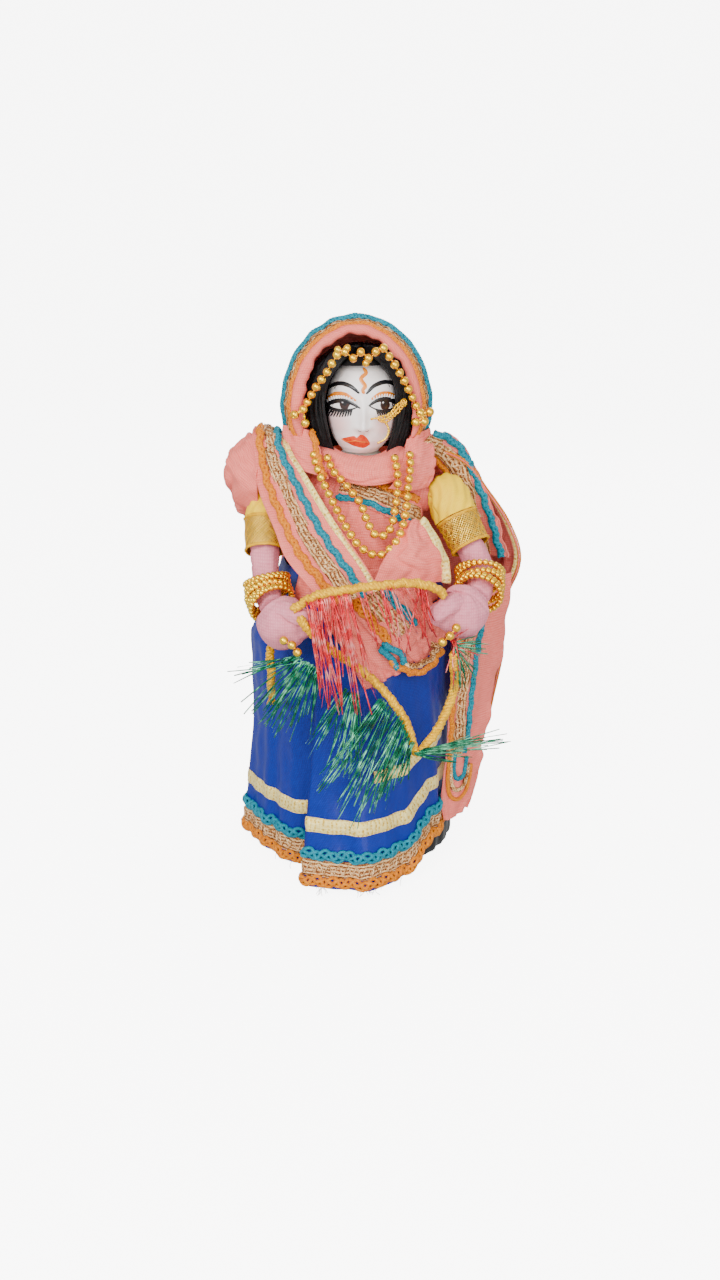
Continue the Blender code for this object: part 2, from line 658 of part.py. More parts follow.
def make_arm(side):
    place = ARMS[side]
    route = place["route"]
    core = 0.8
    frames = frames_along(route, [i / 14 for i in range(15)])
    ring_solid(side + "_arm_wire", [ring_at(f, core, 8) for f in frames], "wire")
    sleeve_solid(side + "_arm", route, 0.13, 1.0, lambda s: core + 0.9, arm_radius, "skin_cloth", 9)
    sleeve_solid(side + "_sleeve", route, 0.10, 0.34, lambda s: arm_radius(s) + 0.9,
                 lambda s: arm_radius(s) + (2.0 if side == "left" else 2.8), "yellow_cloth", 5)
    sleeve_solid(side + "_armband", route, 0.36, 0.55, lambda s: arm_radius(s) + 0.9,
                 lambda s: arm_radius(s) + 2.5, "gold_braid", 4)
    sleeve_solid(side + "_bangles", route, 0.72, 0.93, lambda s: arm_radius(s) + 0.9,
                 lambda s: 11.5 - 30 * (s - 0.825) ** 2, "gold_bead", 5)
    shares = [i / 8 for i in range(9)]
    radii = [(0.0, 4.6), (0.125, 8.6), (0.25, 10.4), (0.5, 11.0), (0.625, 9.6), (0.75, 7.0), (1.0, 2.4)]
    hand_frames = frames_along(place["hand"], shares)
    rings = [ring_at(f, along(radii, s), 14) for f, s in zip(hand_frames, shares)]
    ring_solid(side + "_hand", rings, "skin_cloth")
    cord(side + "_ring_beads", place["ring"], BEAD_RADIUS, 6, "gold_bead")


# ---------------------------------------------------------------- garland

GARLAND_UPPER = [
    (-27, -61, 131), (-21, -63, 136), (-14, -64, 139), (-4, -65, 141), (9, -66, 143),
    (21, -65, 143.5), (30, -63, 141),
    (34, -61, 137),
]
GARLAND_LOWER = [
    (-24.5, -64.5, 128.5), (-19, -63, 121), (-11, -61, 113), (-2, -59.5, 106), (6, -60.5, 99.5),
    (12.5, -63.5, 93),
    (18, -64, 85), (21, -64, 77), (24, -64, 68.5), (29, -64, 74), (34, -62.5, 82), (38, -60, 91),
    (39.5, -59, 100),
    (38.5, -61, 107), (38.5, -61.5, 112.5),
]
RED_TINSEL = [
    [(-19, -68.5, 130), (-4, -69.5, 133.5), (11, -70, 137)],
    [(-19, -69, 112), (-5, -69.5, 113), (9, -69.5, 114)],
    [(-17, -68, 95), (-6, -69, 94), (6, -69, 95)],
]
GREEN_TINSEL_LEFT = [
    [(-24, -66, 108), (-22, -66, 108), (-20, -66, 107)],
    [(-38, -64, 94), (-31, -65, 92), (-24, -66, 90)],
    [(-46, -62, 84), (-38, -63, 78), (-27, -64, 73)],
]
GREEN_TINSEL_FRONT = [
    [(7, -73, 94), (13, -73, 94), (19, -72, 92)],
    [(-9, -74, 74), (3, -74.5, 72), (18, -74, 70)],
    [(-12, -74, 54), (-3, -74.5, 47), (9, -74, 50)],
]
GREEN_TINSEL_RIGHT = [
    [(29, -69, 63), (28, -69, 66), (27, -69, 69)],
    [(45, -61, 65), (45, -61, 69), (44, -61, 73)],
    [(60, -52, 66), (61, -52, 70), (59, -52, 73)],
]
GOLD_TAIL = [(-38, -46, 109.0), (-38.3, -46, 104), (-37.6, -46, 98), (-38.2, -46, 92), (-37.8, -46, 87)]


def make_garland():
    cord("garland_upper_strand", GARLAND_UPPER, BEAD_RADIUS, 14, "gold_braid")
    cord("garland_lower_strand", GARLAND_LOWER, BEAD_RADIUS, 24, "gold_braid")
    cloth("red_tinsel", RED_TINSEL, "red_tinsel", -3.0, 3.0, cells=(4, 4))
    cloth("green_tinsel_left", GREEN_TINSEL_LEFT, "green_tinsel", -3.0, 3.0, cells=(4, 4))
    cloth("green_tinsel_front", GREEN_TINSEL_FRONT, "green_tinsel", -3.5, 3.5, cells=(4, 4))
    cloth("green_tinsel_right", GREEN_TINSEL_RIGHT, "green_tinsel", -2.5, 2.5, cells=(4, 4))
    cord("garland_gold_tail", GOLD_TAIL, BEAD_RADIUS, 6, "gold_braid")


def main():
    clear_scene()
    make_base()
    make_post()
    make_padding()
    make_body()
    make_skirt()
    make_saree()
    make_necklaces()
    make_head()
    make_hair()
    make_hood()
    make_head_beads()
    for side in ARMS:
        make_arm(side)
    make_garland()


main()
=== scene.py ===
"""The looks of a standing Rajasthani bride doll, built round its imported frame.

Lengths in this file are millimetres in the frame's own axes: the doll faces -Y, +Z is up and the
origin is the centre of the base's underside. MM turns them into metres as each mesh is made.
"""

import math

import bmesh
import bpy
import numpy as np
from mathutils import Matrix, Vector
from mathutils.bvhtree import BVHTree


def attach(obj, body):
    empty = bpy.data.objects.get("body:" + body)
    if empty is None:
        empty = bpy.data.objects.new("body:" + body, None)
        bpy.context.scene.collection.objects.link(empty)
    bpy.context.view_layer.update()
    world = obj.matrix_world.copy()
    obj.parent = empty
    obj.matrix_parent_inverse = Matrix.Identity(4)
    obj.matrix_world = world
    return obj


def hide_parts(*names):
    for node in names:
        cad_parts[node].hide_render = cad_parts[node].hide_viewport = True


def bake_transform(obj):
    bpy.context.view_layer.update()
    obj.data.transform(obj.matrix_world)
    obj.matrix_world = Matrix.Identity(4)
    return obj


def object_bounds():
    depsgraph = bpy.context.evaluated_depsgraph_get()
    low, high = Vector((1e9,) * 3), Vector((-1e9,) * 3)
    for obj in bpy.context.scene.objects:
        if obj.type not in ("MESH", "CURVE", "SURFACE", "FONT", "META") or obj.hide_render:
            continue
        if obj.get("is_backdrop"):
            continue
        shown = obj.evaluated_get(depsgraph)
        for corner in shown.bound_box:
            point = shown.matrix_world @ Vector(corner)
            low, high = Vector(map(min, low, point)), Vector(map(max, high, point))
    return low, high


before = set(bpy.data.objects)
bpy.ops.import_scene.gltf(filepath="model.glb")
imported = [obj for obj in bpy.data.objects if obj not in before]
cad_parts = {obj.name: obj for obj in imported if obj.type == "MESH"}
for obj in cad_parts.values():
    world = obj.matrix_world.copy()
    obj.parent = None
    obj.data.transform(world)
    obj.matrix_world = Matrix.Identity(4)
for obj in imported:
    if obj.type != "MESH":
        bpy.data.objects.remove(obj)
CAD_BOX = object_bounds()

MM = 0.001
EYE = Vector((0.0, -542.0, 293.0))  # where the camera stands
VEIL = "veil"  # cloth that hangs from the shoulders; its pieces are baked in place and ride on no body


# ---------------------------------------------------------------- materials


class Look:
    """A node material with its Principled shader, and short calls for the nodes that feed it."""

    def __init__(self, name, coat=0.0, sheen=0.0, metallic=0.0, specular=0.5, sheen_tint=(1, 1, 1, 1)):
        self.material = bpy.data.materials.new(name)
        self.material.use_nodes = True
        self.tree = self.material.node_tree
        self.shader = self.tree.nodes["Principled BSDF"]
        self.shader.inputs["Metallic"].default_value = metallic
        self.shader.inputs["Coat Weight"].default_value = coat
        self.shader.inputs["Sheen Weight"].default_value = sheen
        self.shader.inputs["Sheen Tint"].default_value = sheen_tint
        self.shader.inputs["Specular IOR Level"].default_value = specular
        coordinates = self.tree.nodes.new("ShaderNodeTexCoord")
        self.places = {"uv": coordinates.outputs["UV"], "object": coordinates.outputs["Object"]}

    def node(self, kind, **settings):
        made = self.tree.nodes.new(kind)
        for key, value in settings.items():
            setattr(made, key, value)
        return made

    def feed(self, socket, value):
        if isinstance(value, bpy.types.NodeSocket):
            self.tree.links.new(value, socket)
        else:
            socket.default_value = value

    def place(self, where, scale=(1.0, 1.0, 1.0), turn=0.0):
        mapping = self.node("ShaderNodeMapping")
        mapping.inputs["Scale"].default_value = scale
        mapping.inputs["Rotation"].default_value = (0.0, 0.0, turn)
        self.feed(mapping.inputs["Vector"], self.places[where])
        return mapping.outputs["Vector"]

    def noise(self, place, scale, detail=3.0, rough=0.55, distortion=0.0):
        made = self.node("ShaderNodeTexNoise")
        self.feed(made.inputs["Vector"], place)
        made.inputs["Scale"].default_value = scale
        made.inputs["Detail"].default_value = detail
        made.inputs["Roughness"].default_value = rough
        made.inputs["Distortion"].default_value = distortion
        return made.outputs["Fac"]

    def wave(self, place, scale, direction="X", distortion=0.0):
        made = self.node("ShaderNodeTexWave", bands_direction=direction)
        self.feed(made.inputs["Vector"], place)
        made.inputs["Scale"].default_value = scale
        made.inputs["Distortion"].default_value = distortion
        made.inputs["Detail"].default_value = 1.0
        return made.outputs["Fac"]

    def cells(self, place, scale, feature="F1"):
        made = self.node("ShaderNodeTexVoronoi", feature=feature)
        self.feed(made.inputs["Vector"], place)
        made.inputs["Scale"].default_value = scale
        return made.outputs["Distance"]

    def ramp(self, value, stops):
        made = self.node("ShaderNodeValToRGB")
        self.feed(made.inputs["Fac"], value)
        elements = made.color_ramp.elements
        while len(elements) < len(stops):
            elements.new(0.5)
        for element, (at, colour) in zip(elements, stops):
            element.position = at
            element.color = colour if len(colour) == 4 else (*colour, 1.0)
        return made.outputs["Color"]

    def level(self, value, low, high):
        """A number from 0 to 1 spread over low to high."""
        made = self.node("ShaderNodeMapRange")
        self.feed(made.inputs["Value"], value)
        made.inputs["To Min"].default_value = low
        made.inputs["To Max"].default_value = high
        return made.outputs["Result"]

    def sum(self, first, second, operation="ADD"):
        made = self.node("ShaderNodeMath", operation=operation)
        self.feed(made.inputs[0], first)
        self.feed(made.inputs[1], second)
        return made.outputs[0]

    def blend(self, share, first, second, mode="MIX"):
        made = self.node("ShaderNodeMix", data_type="RGBA", blend_type=mode)
        self.feed(made.inputs[0], share)
        self.feed(made.inputs[6], first)
        self.feed(made.inputs[7], second)
        return made.outputs[2]

    def finish(self, colour, roughness, height=None, strength=0.5, depth=0.0002):
        self.feed(self.shader.inputs["Base Color"], colour)
        self.feed(self.shader.inputs["Roughness"], roughness)
        if height is not None:
            bump = self.node("ShaderNodeBump")
            bump.inputs["Strength"].default_value = strength
            bump.inputs["Distance"].default_value = depth
            self.feed(bump.inputs["Height"], height)
            self.feed(self.shader.inputs["Normal"], bump.outputs["Normal"])
        return self.material


WAVE_TURN = 6.2832  # two pi


def woven(name, deep, base, light, threads, sheen=0.3, rough=0.7, metallic=0.0, where="uv", bump=0.5,
          coat=0.0):
    """Plain woven cloth: crossing threads, slubs and slow colour drift.

    threads is about twice the count per centimetre."""
    look = Look(name, sheen=sheen, metallic=metallic, coat=coat, specular=0.15, sheen_tint=(*light, 1.0))
    place = look.place(where, (100.0, 100.0, 100.0) if where == "object" else (1.0, 1.0, 1.0))
    turns = threads / WAVE_TURN
    across = look.wave(place, turns, "X", 0.4)
    down = look.wave(place, turns * 0.8, "Y" if where == "uv" else "Z", 0.5)
    weave = look.sum(across, down, "MULTIPLY")
    slub = look.noise(look.place(where, (100.0, 100.0, 100.0) if where == "object" else (0.6, 3.0, 1.0)),
                      5.0)
    drift = look.noise(look.places["object"], 38.0, 2.0)
    colour = look.ramp(look.sum(look.sum(weave, 0.35, "MULTIPLY"), look.sum(slub, 0.65, "MULTIPLY")),
                       [(0.12, deep), (0.42, base), (0.8, light)])
    tint = look.ramp(drift, [(0.3, tuple(c * 0.86 for c in base)),
                             (0.7, tuple(min(1.0, c * 1.08) for c in base))])
    colour = look.blend(0.35, colour, tint)
    height = look.sum(weave, look.sum(slub, 0.5, "MULTIPLY"))
    return look.finish(colour, look.level(slub, rough - 0.08, rough + 0.1), height, bump, 0.00015)


def beaded_metal(name, base, light, rough=0.2):
    look = Look(name, metallic=0.92, coat=0.3)
    worn = look.noise(look.places["object"], 300.0, 3.0)
    slow = look.noise(look.places["object"], 60.0, 2.0)
    colour = look.ramp(slow, [(0.3, base), (0.7, light)])
    return look.finish(colour, look.level(worn, rough - 0.06, rough + 0.14), worn, 0.08, 0.0001)


def thread(name, deep, base, light, metallic=0.0, rough=0.45, fibre=9.0):
    """Silky or metallic thread: fine fibres that run along the UV length."""
    look = Look(name, sheen=0.1, metallic=metallic, specular=0.25, sheen_tint=(*light, 1.0))
    place = look.place("uv", (1.0, 1.0, 1.0), 0.5)
    fibres = look.wave(place, fibre, "Y", 1.5)
    glints = look.noise(look.places["object"], 900.0, 2.0)
    mix = look.sum(look.sum(fibres, 0.55, "MULTIPLY"), look.sum(glints, 0.5, "MULTIPLY"))
    colour = look.ramp(mix, [(0.15, deep), (0.5, base), (0.85, light)])
    return look.finish(colour, look.level(glints, rough - 0.12, rough + 0.2), fibres, 0.5, 0.0001)


def zari_weave(name):
    """Beige metallic ribbon with brown, silver and rose flecks in wavy rows."""
    look = Look(name, metallic=0.25, specular=0.35)
    place = look.place("uv", (1.0, 1.0, 1.0))
    rows = look.wave(place, 1.9, "X", 5.0)
    flecks = look.cells(look.place("uv", (1.0, 2.0, 1.0)), 14.0)
    specks = look.noise(place, 22.0, 2.0)
    colour = look.ramp(look.sum(look.sum(rows, 0.5, "MULTIPLY"), look.sum(flecks, 0.6, "MULTIPLY")), [
        (0.18, (0.05, 0.012, 0.003)), (0.38, (0.34, 0.11, 0.02)), (0.58, (0.70, 0.38, 0.13)),
        (0.85, (0.98, 0.74, 0.40))])
    rosy = look.ramp(specks, [(0.48, (1.0, 1.0, 1.0)), (0.62, (0.60, 0.20, 0.07))])
    colour = look.blend(0.75, colour, rosy, "MULTIPLY")
    return look.finish(colour, look.level(specks, 0.3, 0.6), look.sum(rows, flecks), 0.9, 0.0003)


def gold_mesh(name, turn):
    """Fine diagonal gold gauze with a darker ground between its wires."""
    look = Look(name, metallic=0.75)
    place = look.place("uv", (1.0, 1.0, 1.0), turn)
    one = look.wave(place, 3.4, "X", 0.2)
    other = look.wave(place, 3.4, "Y", 0.2)
    net = look.sum(one, other, "MAXIMUM")
    colour = look.ramp(net, [(0.35, (0.13, 0.05, 0.0)), (0.62, (0.58, 0.30, 0.01)),
                             (0.9, (0.97, 0.64, 0.10))])
    return look.finish(colour, look.level(net, 0.55, 0.25), net, 1.0, 0.0003)


def lace_weave(name):
    """Pale gold lace: small scallops and eyelets."""
    look = Look(name, metallic=0.45, sheen=0.15)
    eyes = look.cells(look.place("uv", (1.0, 1.0, 1.0)), 9.0)
    rows = look.wave(look.place("uv"), 1.6, "Y", 2.0)
    fine = look.noise(look.places["uv"], 24.0, 2.0)
    mix = look.sum(look.sum(eyes, 0.8, "MULTIPLY"), look.sum(rows, 0.35, "MULTIPLY"))
    colour = look.ramp(mix, [(0.12, (0.40, 0.20, 0.01)), (0.32, (0.78, 0.50, 0.06)),
                             (0.62, (1.0, 0.82, 0.30))])
    return look.finish(colour, look.level(fine, 0.3, 0.55), look.sum(mix, fine), 0.9, 0.0003)


def foil(name, deep, base, light):
    look = Look(name, metallic=0.6, coat=0.35)
    creases = look.noise(look.places["object"], 240.0, 2.0)
    bands = look.noise(look.places["object"], 90.0, 2.0)
    # Painted light: over the crinkle and band noise the colour runs from a painted shade (deep) through the
    # base to a painted highlight (light).
    colour = look.ramp(look.sum(look.sum(creases, 0.6, "MULTIPLY"), look.sum(bands, 0.4, "MULTIPLY")),
                       [(0.3, deep), (0.5, base), (0.66, light)])
    return look.finish(colour, look.level(creases, 0.15, 0.4), creases, 0.6, 0.0003)


def painted_skin():
    """White satin paint with a faint rose flush on the cheeks."""
    look = Look("painted_face", coat=0.35)
    here = look.places["object"]
    brush = look.noise(here, 260.0, 4.0)
    slow = look.noise(here, 60.0, 2.0)
    colour = look.ramp(slow, [(0.3, (0.97, 0.88, 0.85)), (0.7, (1.0, 0.95, 0.93))])
    split = look.node("ShaderNodeSeparateXYZ")
    look.feed(split.inputs[0], here)
    for x in CHEEKS:
        across = look.sum(look.sum(split.outputs[0], x[0] * MM, "SUBTRACT"), 1000 / 6.5, "MULTIPLY")
        up = look.sum(look.sum(split.outputs[2], x[1] * MM, "SUBTRACT"), 1000 / 6.0, "MULTIPLY")
        far = look.sum(look.sum(across, across, "MULTIPLY"), look.sum(up, up, "MULTIPLY"))
        flush = look.ramp(far, [(0.0, (0.55, 0.55, 0.55)), (1.0, (0.0, 0.0, 0.0))])
        colour = look.blend(flush, colour, (0.85, 0.36, 0.34, 1.0))
    return look.finish(colour, look.level(brush, 0.32, 0.44), brush, 0.06, 0.0001)


def paint(name, colour, shade, rough=0.35):
    look = Look(name, coat=0.3)
    stroke = look.noise(look.places["object"], 700.0, 3.0)
    tone = look.ramp(stroke, [(0.3, shade), (0.65, colour)])
    return look.finish(tone, look.level(stroke, rough - 0.05, rough + 0.1), stroke, 0.1, 0.0001)


def hair_look():
    look = Look("hair_strands", specular=0.3)
    streak = look.noise(look.place("uv", (30.0, 0.6, 1.0)), 3.0, 3.0)
    colour = look.ramp(streak, [(0.35, (0.001, 0.001, 0.0012)), (0.7, (0.009, 0.008, 0.009))])
    return look.finish(colour, look.level(streak, 0.34, 0.55), streak, 0.8, 0.0003)


def wood_look():
    look = Look("turned_wood")
    grain = look.noise(look.place("object", (60.0, 60.0, 6.0)), 12.0, 4.0, distortion=0.6)
    colour = look.ramp(grain, [(0.3, (0.34, 0.21, 0.11)), (0.6, (0.62, 0.44, 0.26)),
                               (0.8, (0.72, 0.55, 0.36))])
    return look.finish(colour, look.level(grain, 0.5, 0.72), grain, 0.3, 0.0002)


def wire_look():
    look = Look("drawn_wire", metallic=1.0)
    marks = look.noise(look.place("object", (900.0, 900.0, 60.0)), 3.0)
    colour = look.ramp(marks, [(0.3, (0.32, 0.32, 0.33)), (0.7, (0.62, 0.62, 0.64))])
    return look.finish(colour, look.level(marks, 0.3, 0.5), marks, 0.2, 0.0001)


def floor_look():
    look = Look("studio_floor")
    grain = look.noise(look.places["object"], 30.0, 2.0)
    colour = look.ramp(grain, [(0.3, (0.90, 0.895, 0.89)), (0.7, (0.92, 0.915, 0.91))])
    look.shader.inputs["Emission Color"].default_value = (1.0, 0.99, 0.985, 1.0)
    look.shader.inputs["Emission Strength"].default_value = 7.0
    return look.finish(colour, look.level(grain, 0.85, 0.95))


CHEEKS = [(-9.5, 199.0), (10.5, 198.5)]

LOOKS = {
    "pink": woven("pink_saree", (0.56, 0.055, 0.04), (0.86, 0.19, 0.15), (0.96, 0.34, 0.28), 22.0, 0.1,
                  0.72),
    "blue": woven("blue_satin_weave", (0.003, 0.007, 0.09), (0.006, 0.018, 0.24), (0.015, 0.05, 0.42),
                  26.0, 0.06,
                  0.42, bump=0.35, coat=0.1),
    "yellow": woven("yellow_satin", (0.78, 0.40, 0.0), (0.98, 0.62, 0.0), (1.0, 0.75, 0.0), 26.0, 0.0, 0.5,
                    bump=0.3),
    "skin": woven("skin_cotton", (0.52, 0.12, 0.17), (0.72, 0.24, 0.30), (0.84, 0.38, 0.43), 20.0, 0.25,
                  0.8,
                  where="object"),
    "satin": woven("black_satin_weave", (0.002, 0.002, 0.0025), (0.006, 0.006, 0.007),
                   (0.03, 0.03, 0.033), 24.0,
                   0.1, 0.35, where="object", bump=0.25, coat=0.2),
    "wadding": woven("cotton_wadding", (0.62, 0.60, 0.54), (0.78, 0.76, 0.70), (0.9, 0.88, 0.84), 7.0,
                     0.4, 0.95,
                     where="object", bump=0.9),
    "bead": beaded_metal("gold_beads", (0.92, 0.45, 0.0), (1.0, 0.66, 0.02)),
    "gold": thread("gold_thread", (0.24, 0.06, 0.0), (0.96, 0.46, 0.0), (1.0, 0.68, 0.0), 0.3, 0.32),
    "teal": thread("teal_thread", (0.0, 0.02, 0.05), (0.0, 0.15, 0.23), (0.0, 0.42, 0.52)),
    "orange": thread("orange_thread", (0.20, 0.02, 0.0), (0.66, 0.13, 0.0), (1.0, 0.42, 0.0)),
    "zari": zari_weave("zari_ribbon"),
    "mesh": gold_mesh("gold_gauze", 0.785),
    "lace": lace_weave("gold_lace_weave"),
    # The foils' deep and light colours are painted shade and painted highlight.
    "red_foil": foil("red_foil", (0.34, 0.0, 0.01), (0.90, 0.035, 0.045), (1.0, 0.42, 0.38)),
    "green_foil": foil("green_foil", (0.0, 0.045, 0.022), (0.0, 0.23, 0.10), (0.30, 0.92, 0.56)),
    "face": painted_skin(),
    "black_paint": paint("black_paint", (0.012, 0.010, 0.012), (0.003, 0.003, 0.004)),
    "white_paint": paint("white_paint", (0.92, 0.90, 0.89), (0.84, 0.82, 0.81)),
    "orange_paint": paint("orange_paint", (0.86, 0.26, 0.004), (0.70, 0.15, 0.0)),
    "red_paint": paint("red_paint", (0.74, 0.06, 0.006), (0.55, 0.025, 0.003)),
    "brown_paint": paint("brown_paint", (0.035, 0.010, 0.007), (0.012, 0.004, 0.003)),
    "hair": hair_look(),
    "wood": wood_look(),
    "wire": wire_look(),
}


# ---------------------------------------------------------------- geometry helpers


def spline(route, share):
    """A point on the smooth curve through a route's points; share runs from 0 to 1."""
    route = np.asarray(route, float)
    spans = len(route) - 1
    place = min(max(share, 0.0), 1.0) * spans
    i = min(int(place), spans - 1)
    t = place - i
    a, b, c, d = route[max(i - 1, 0)], route[i], route[i + 1], route[min(i + 2, spans)]
    curve = 2 * b + (c - a) * t + (2 * a - 5 * b + 4 * c - d) * t * t
    return (curve + (3 * b - a - 3 * c + d) * t * t * t) / 2


def along(table, at):
    """The value at one place in a table of (place, number or tuple), in straight steps between rows."""
    rows = [np.atleast_1d(np.asarray(row[1], float)) for row in table]
    values = [np.interp(at, [row[0] for row in table], [r[k] for r in rows]) for k in range(len(rows[0]))]
    return values if len(values) > 1 else values[0]


def even_line(route, step):
    """Points about step apart on the smooth curve through a route."""
    fine = np.array([spline(route, i / 400) for i in range(401)])
    run = np.concatenate([[0.0], np.cumsum(np.linalg.norm(np.diff(fine, axis=0), axis=1))])
    stations = np.linspace(0.0, run[-1], max(2, round(run[-1] / step) + 1))
    return np.stack([np.interp(stations, run, fine[:, k]) for k in range(3)], axis=1)


def unit(rows):
    rows = np.asarray(rows, float)
    return rows / np.maximum(np.linalg.norm(rows, axis=-1, keepdims=True), 1e-9)


def run_along(line):
    """How far along a line each of its points is."""
    return np.concatenate([[0.0], np.cumsum(np.linalg.norm(np.diff(line, axis=0), axis=1))])


def frames(line, up=None):
    """Directions ahead, up and across at each point of a line; up is carried along without twisting."""
    ahead = unit(np.gradient(np.asarray(line, float), axis=0))
    if up is None:
        ups = []
        carried = np.array([0.0, 0.0, 1.0]) if abs(ahead[0][2]) < 0.9 else np.array([0.0, -1.0, 0.0])
        for direction in ahead:
            carried = unit(carried - direction * carried.dot(direction))
            ups.append(carried)
        up = np.array(ups)
    else:
        up = unit(up - ahead * (np.asarray(up) * ahead).sum(1, keepdims=True))
    return ahead, up, np.cross(ahead, up)


def piece(name, points, faces, look, body, slot, replaces=(), uvs=None, smooth=True):
    """A finished mesh piece from points in millimetres, in its look's material; it rides on a body, or is
    baked in place for VEIL. slot is not used.
    """
    mesh = bpy.data.meshes.new(name)
    mesh.from_pydata([tuple(p) for p in np.asarray(points, float) * MM], [],
                     [tuple(map(int, f)) for f in faces])
    if uvs is not None:
        layer = mesh.uv_layers.new(name="UVMap")
        corners = np.zeros(len(mesh.loops), np.int32)
        mesh.loops.foreach_get("vertex_index", corners)
        layer.data.foreach_set("uv", np.asarray(uvs, np.float32)[corners].ravel())
    if smooth:
        mesh.shade_smooth()
    thing = bpy.data.objects.new(name, mesh)
    thing.data.materials.append(LOOKS[look])
    bpy.context.scene.collection.objects.link(thing)
    if body == VEIL:
        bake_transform(thing)
    else:
        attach(thing, body)
    if replaces:
        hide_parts(*replaces)
    return thing


class Parts:
    """Collects many small shapes into one mesh."""

    def __init__(self):
        self.points, self.faces, self.uvs, self.count = [], [], [], 0

    def add(self, points, faces, uvs=None):
        points = np.asarray(points, float).reshape(-1, 3)
        self.points.append(points)
        self.faces += [tuple(int(i) + self.count for i in f) for f in faces]
        self.uvs.append(np.zeros((len(points), 2)) if uvs is None else np.asarray(uvs, float))
        self.count += len(points)

    def piece(self, name, look, body, slot, replaces=(), smooth=True):
        return piece(name, np.concatenate(self.points), self.faces, look, body, slot, replaces,
                     np.concatenate(self.uvs), smooth)


def grid_faces(wide, tall, start=0, wrap=False):
    """Quads of a grid of wide by tall points; wrap joins each row's end to its start."""
    faces = []
    for j in range(tall - 1):
        for i in range(wide if wrap else wide - 1):
            k = (i + 1) % wide
            faces.append((start + j * wide + i, start + j * wide + k, start + (j + 1) * wide + k,
                          start + (j + 1) * wide + i))
    return faces


def tube(parts, line, radii, sides=8, up=None, squash=1.0):
    """A round tube with closed ends along a line; radii is one number or one for each point."""
    line = np.asarray(line, float)
    _, up, across = frames(line, up)
    radii = np.broadcast_to(np.asarray(radii, float), (len(line),))
    turns = np.arange(sides) * 2 * math.pi / sides
    ring = np.cos(turns)[None, :, None] * across[:, None] + np.sin(turns)[None, :, None] * up[:,
                                                                                              None] * squash
    points = line[:, None] + ring * radii[:, None, None]
    run = run_along(line)
    uvs = np.stack(np.broadcast_arrays(turns[None, :] * radii.mean() / 10, run[:, None] / 10), axis=2)
    count = len(line)
    points = np.concatenate([points.reshape(-1, 3), line[:1], line[-1:]])
    uvs = np.concatenate([uvs.reshape(-1, 2), [[0, 0], [0, run[-1] / 10]]])
    faces = grid_faces(sides, count, wrap=True)
    first, last = count * sides, count * sides + 1
    faces += [(first, (i + 1) % sides, i) for i in range(sides)]
    faces += [(last, (count - 1) * sides + i, (count - 1) * sides + (i + 1) % sides) for i in range(sides)]
    parts.add(points, faces, uvs)


def plait(parts, line, normals, width, thick, pitch, strands=3):
    """Thread bundles plaited flat along a line; normals point away from the cloth beneath."""
    _, up, across = frames(line, normals)
    run = run_along(line)
    for k in range(strands):
        phase = 2 * math.pi * (run / pitch + k / strands)
        side = (width / 2 - thick) * np.sin(phase)
        lift = thick * (0.8 + 0.6 * np.cos(2 * phase))
        tube(parts, line + across * side[:, None] + up * lift[:, None], thick, 6, up)


def rope(parts, line, radius, pitch, strands=3, bumps=0.22):
    """Strands twisted round a line into a rope of the given radius."""
    _, up, across = frames(line)
    run = run_along(line)
    thick = radius * 0.50
    for k in range(strands):
        phase = 2 * math.pi * (run / pitch + k / strands)
        offset = (radius - thick) * (np.cos(phase)[:, None] * up + np.sin(phase)[:, None] * across)
        radii = thick * (0.9 + bumps * np.sin(2 * math.pi * run / 1.6 + k))
        tube(parts, line + offset, radii, 8)


def bead(parts, centre, axis, radius, sides=14, rows=8):
    """A round bead with a small hole through it along its axis."""
    axis = unit(axis)
    side = unit(np.cross(axis, [0.3, 0.5, 0.8]))
    other = np.cross(axis, side)
    bore = 0.22 * radius
    start = math.asin(bore / radius)
    arcs = np.linspace(start, math.pi - start, rows)
    profile = [(bore, -0.1 * radius)] + [(radius * math.sin(a), -radius * math.cos(a)) for a in arcs]
    profile.append((bore, 0.1 * radius))
    turns = np.arange(sides) * 2 * math.pi / sides
    points = [centre + r * (math.cos(t) * side + math.sin(t) * other) + h * axis for r, h in profile
              for t in turns]
    faces = grid_faces(sides, len(profile), wrap=True)
    last = (len(profile) - 1) * sides
    faces += [(last + i, last + (i + 1) % sides, (i + 1) % sides, i) for i in range(sides)]
    parts.add(points, [f[::-1] for f in faces])


def bead_string(parts, route, radius, gap=1.03, seed=1, string=True):
    line = even_line(route, 2 * radius * gap)
    ahead, _, _ = frames(line)
    random = np.random.default_rng(seed)
    for centre, direction in zip(line, ahead):
        bead(parts, centre, direction + random.normal(0, 0.12, 3), radius * random.uniform(0.96, 1.02))
    if string:
        tube(parts, even_line(route, 1.5), 0.22 * radius * 0.8, 5)


def lattice(rows, wide, tall):
    """A fine grid of points on the smooth cloth through a coarse grid of control points."""
    across = np.linspace(0, 1, wide + 1)
    down = np.linspace(0, 1, tall + 1)
    columns = np.array([[spline(row, u) for u in across] for row in rows])
    return np.array([[spline(columns[:, i], v) for i in range(wide + 1)] for v in down])


def grid_normals(grid):
    across = np.gradient(grid, axis=1)
    down = np.gradient(grid, axis=0)
    return unit(np.cross(down, across))


def sheet_size(grid):
    """The flat width and length of a cloth grid, in metres."""
    across = np.linalg.norm(np.diff(grid, axis=1), axis=2).sum(1).mean()
    down = np.linalg.norm(np.diff(grid, axis=0), axis=2).sum(0).mean()
    return (across * MM, down * MM)


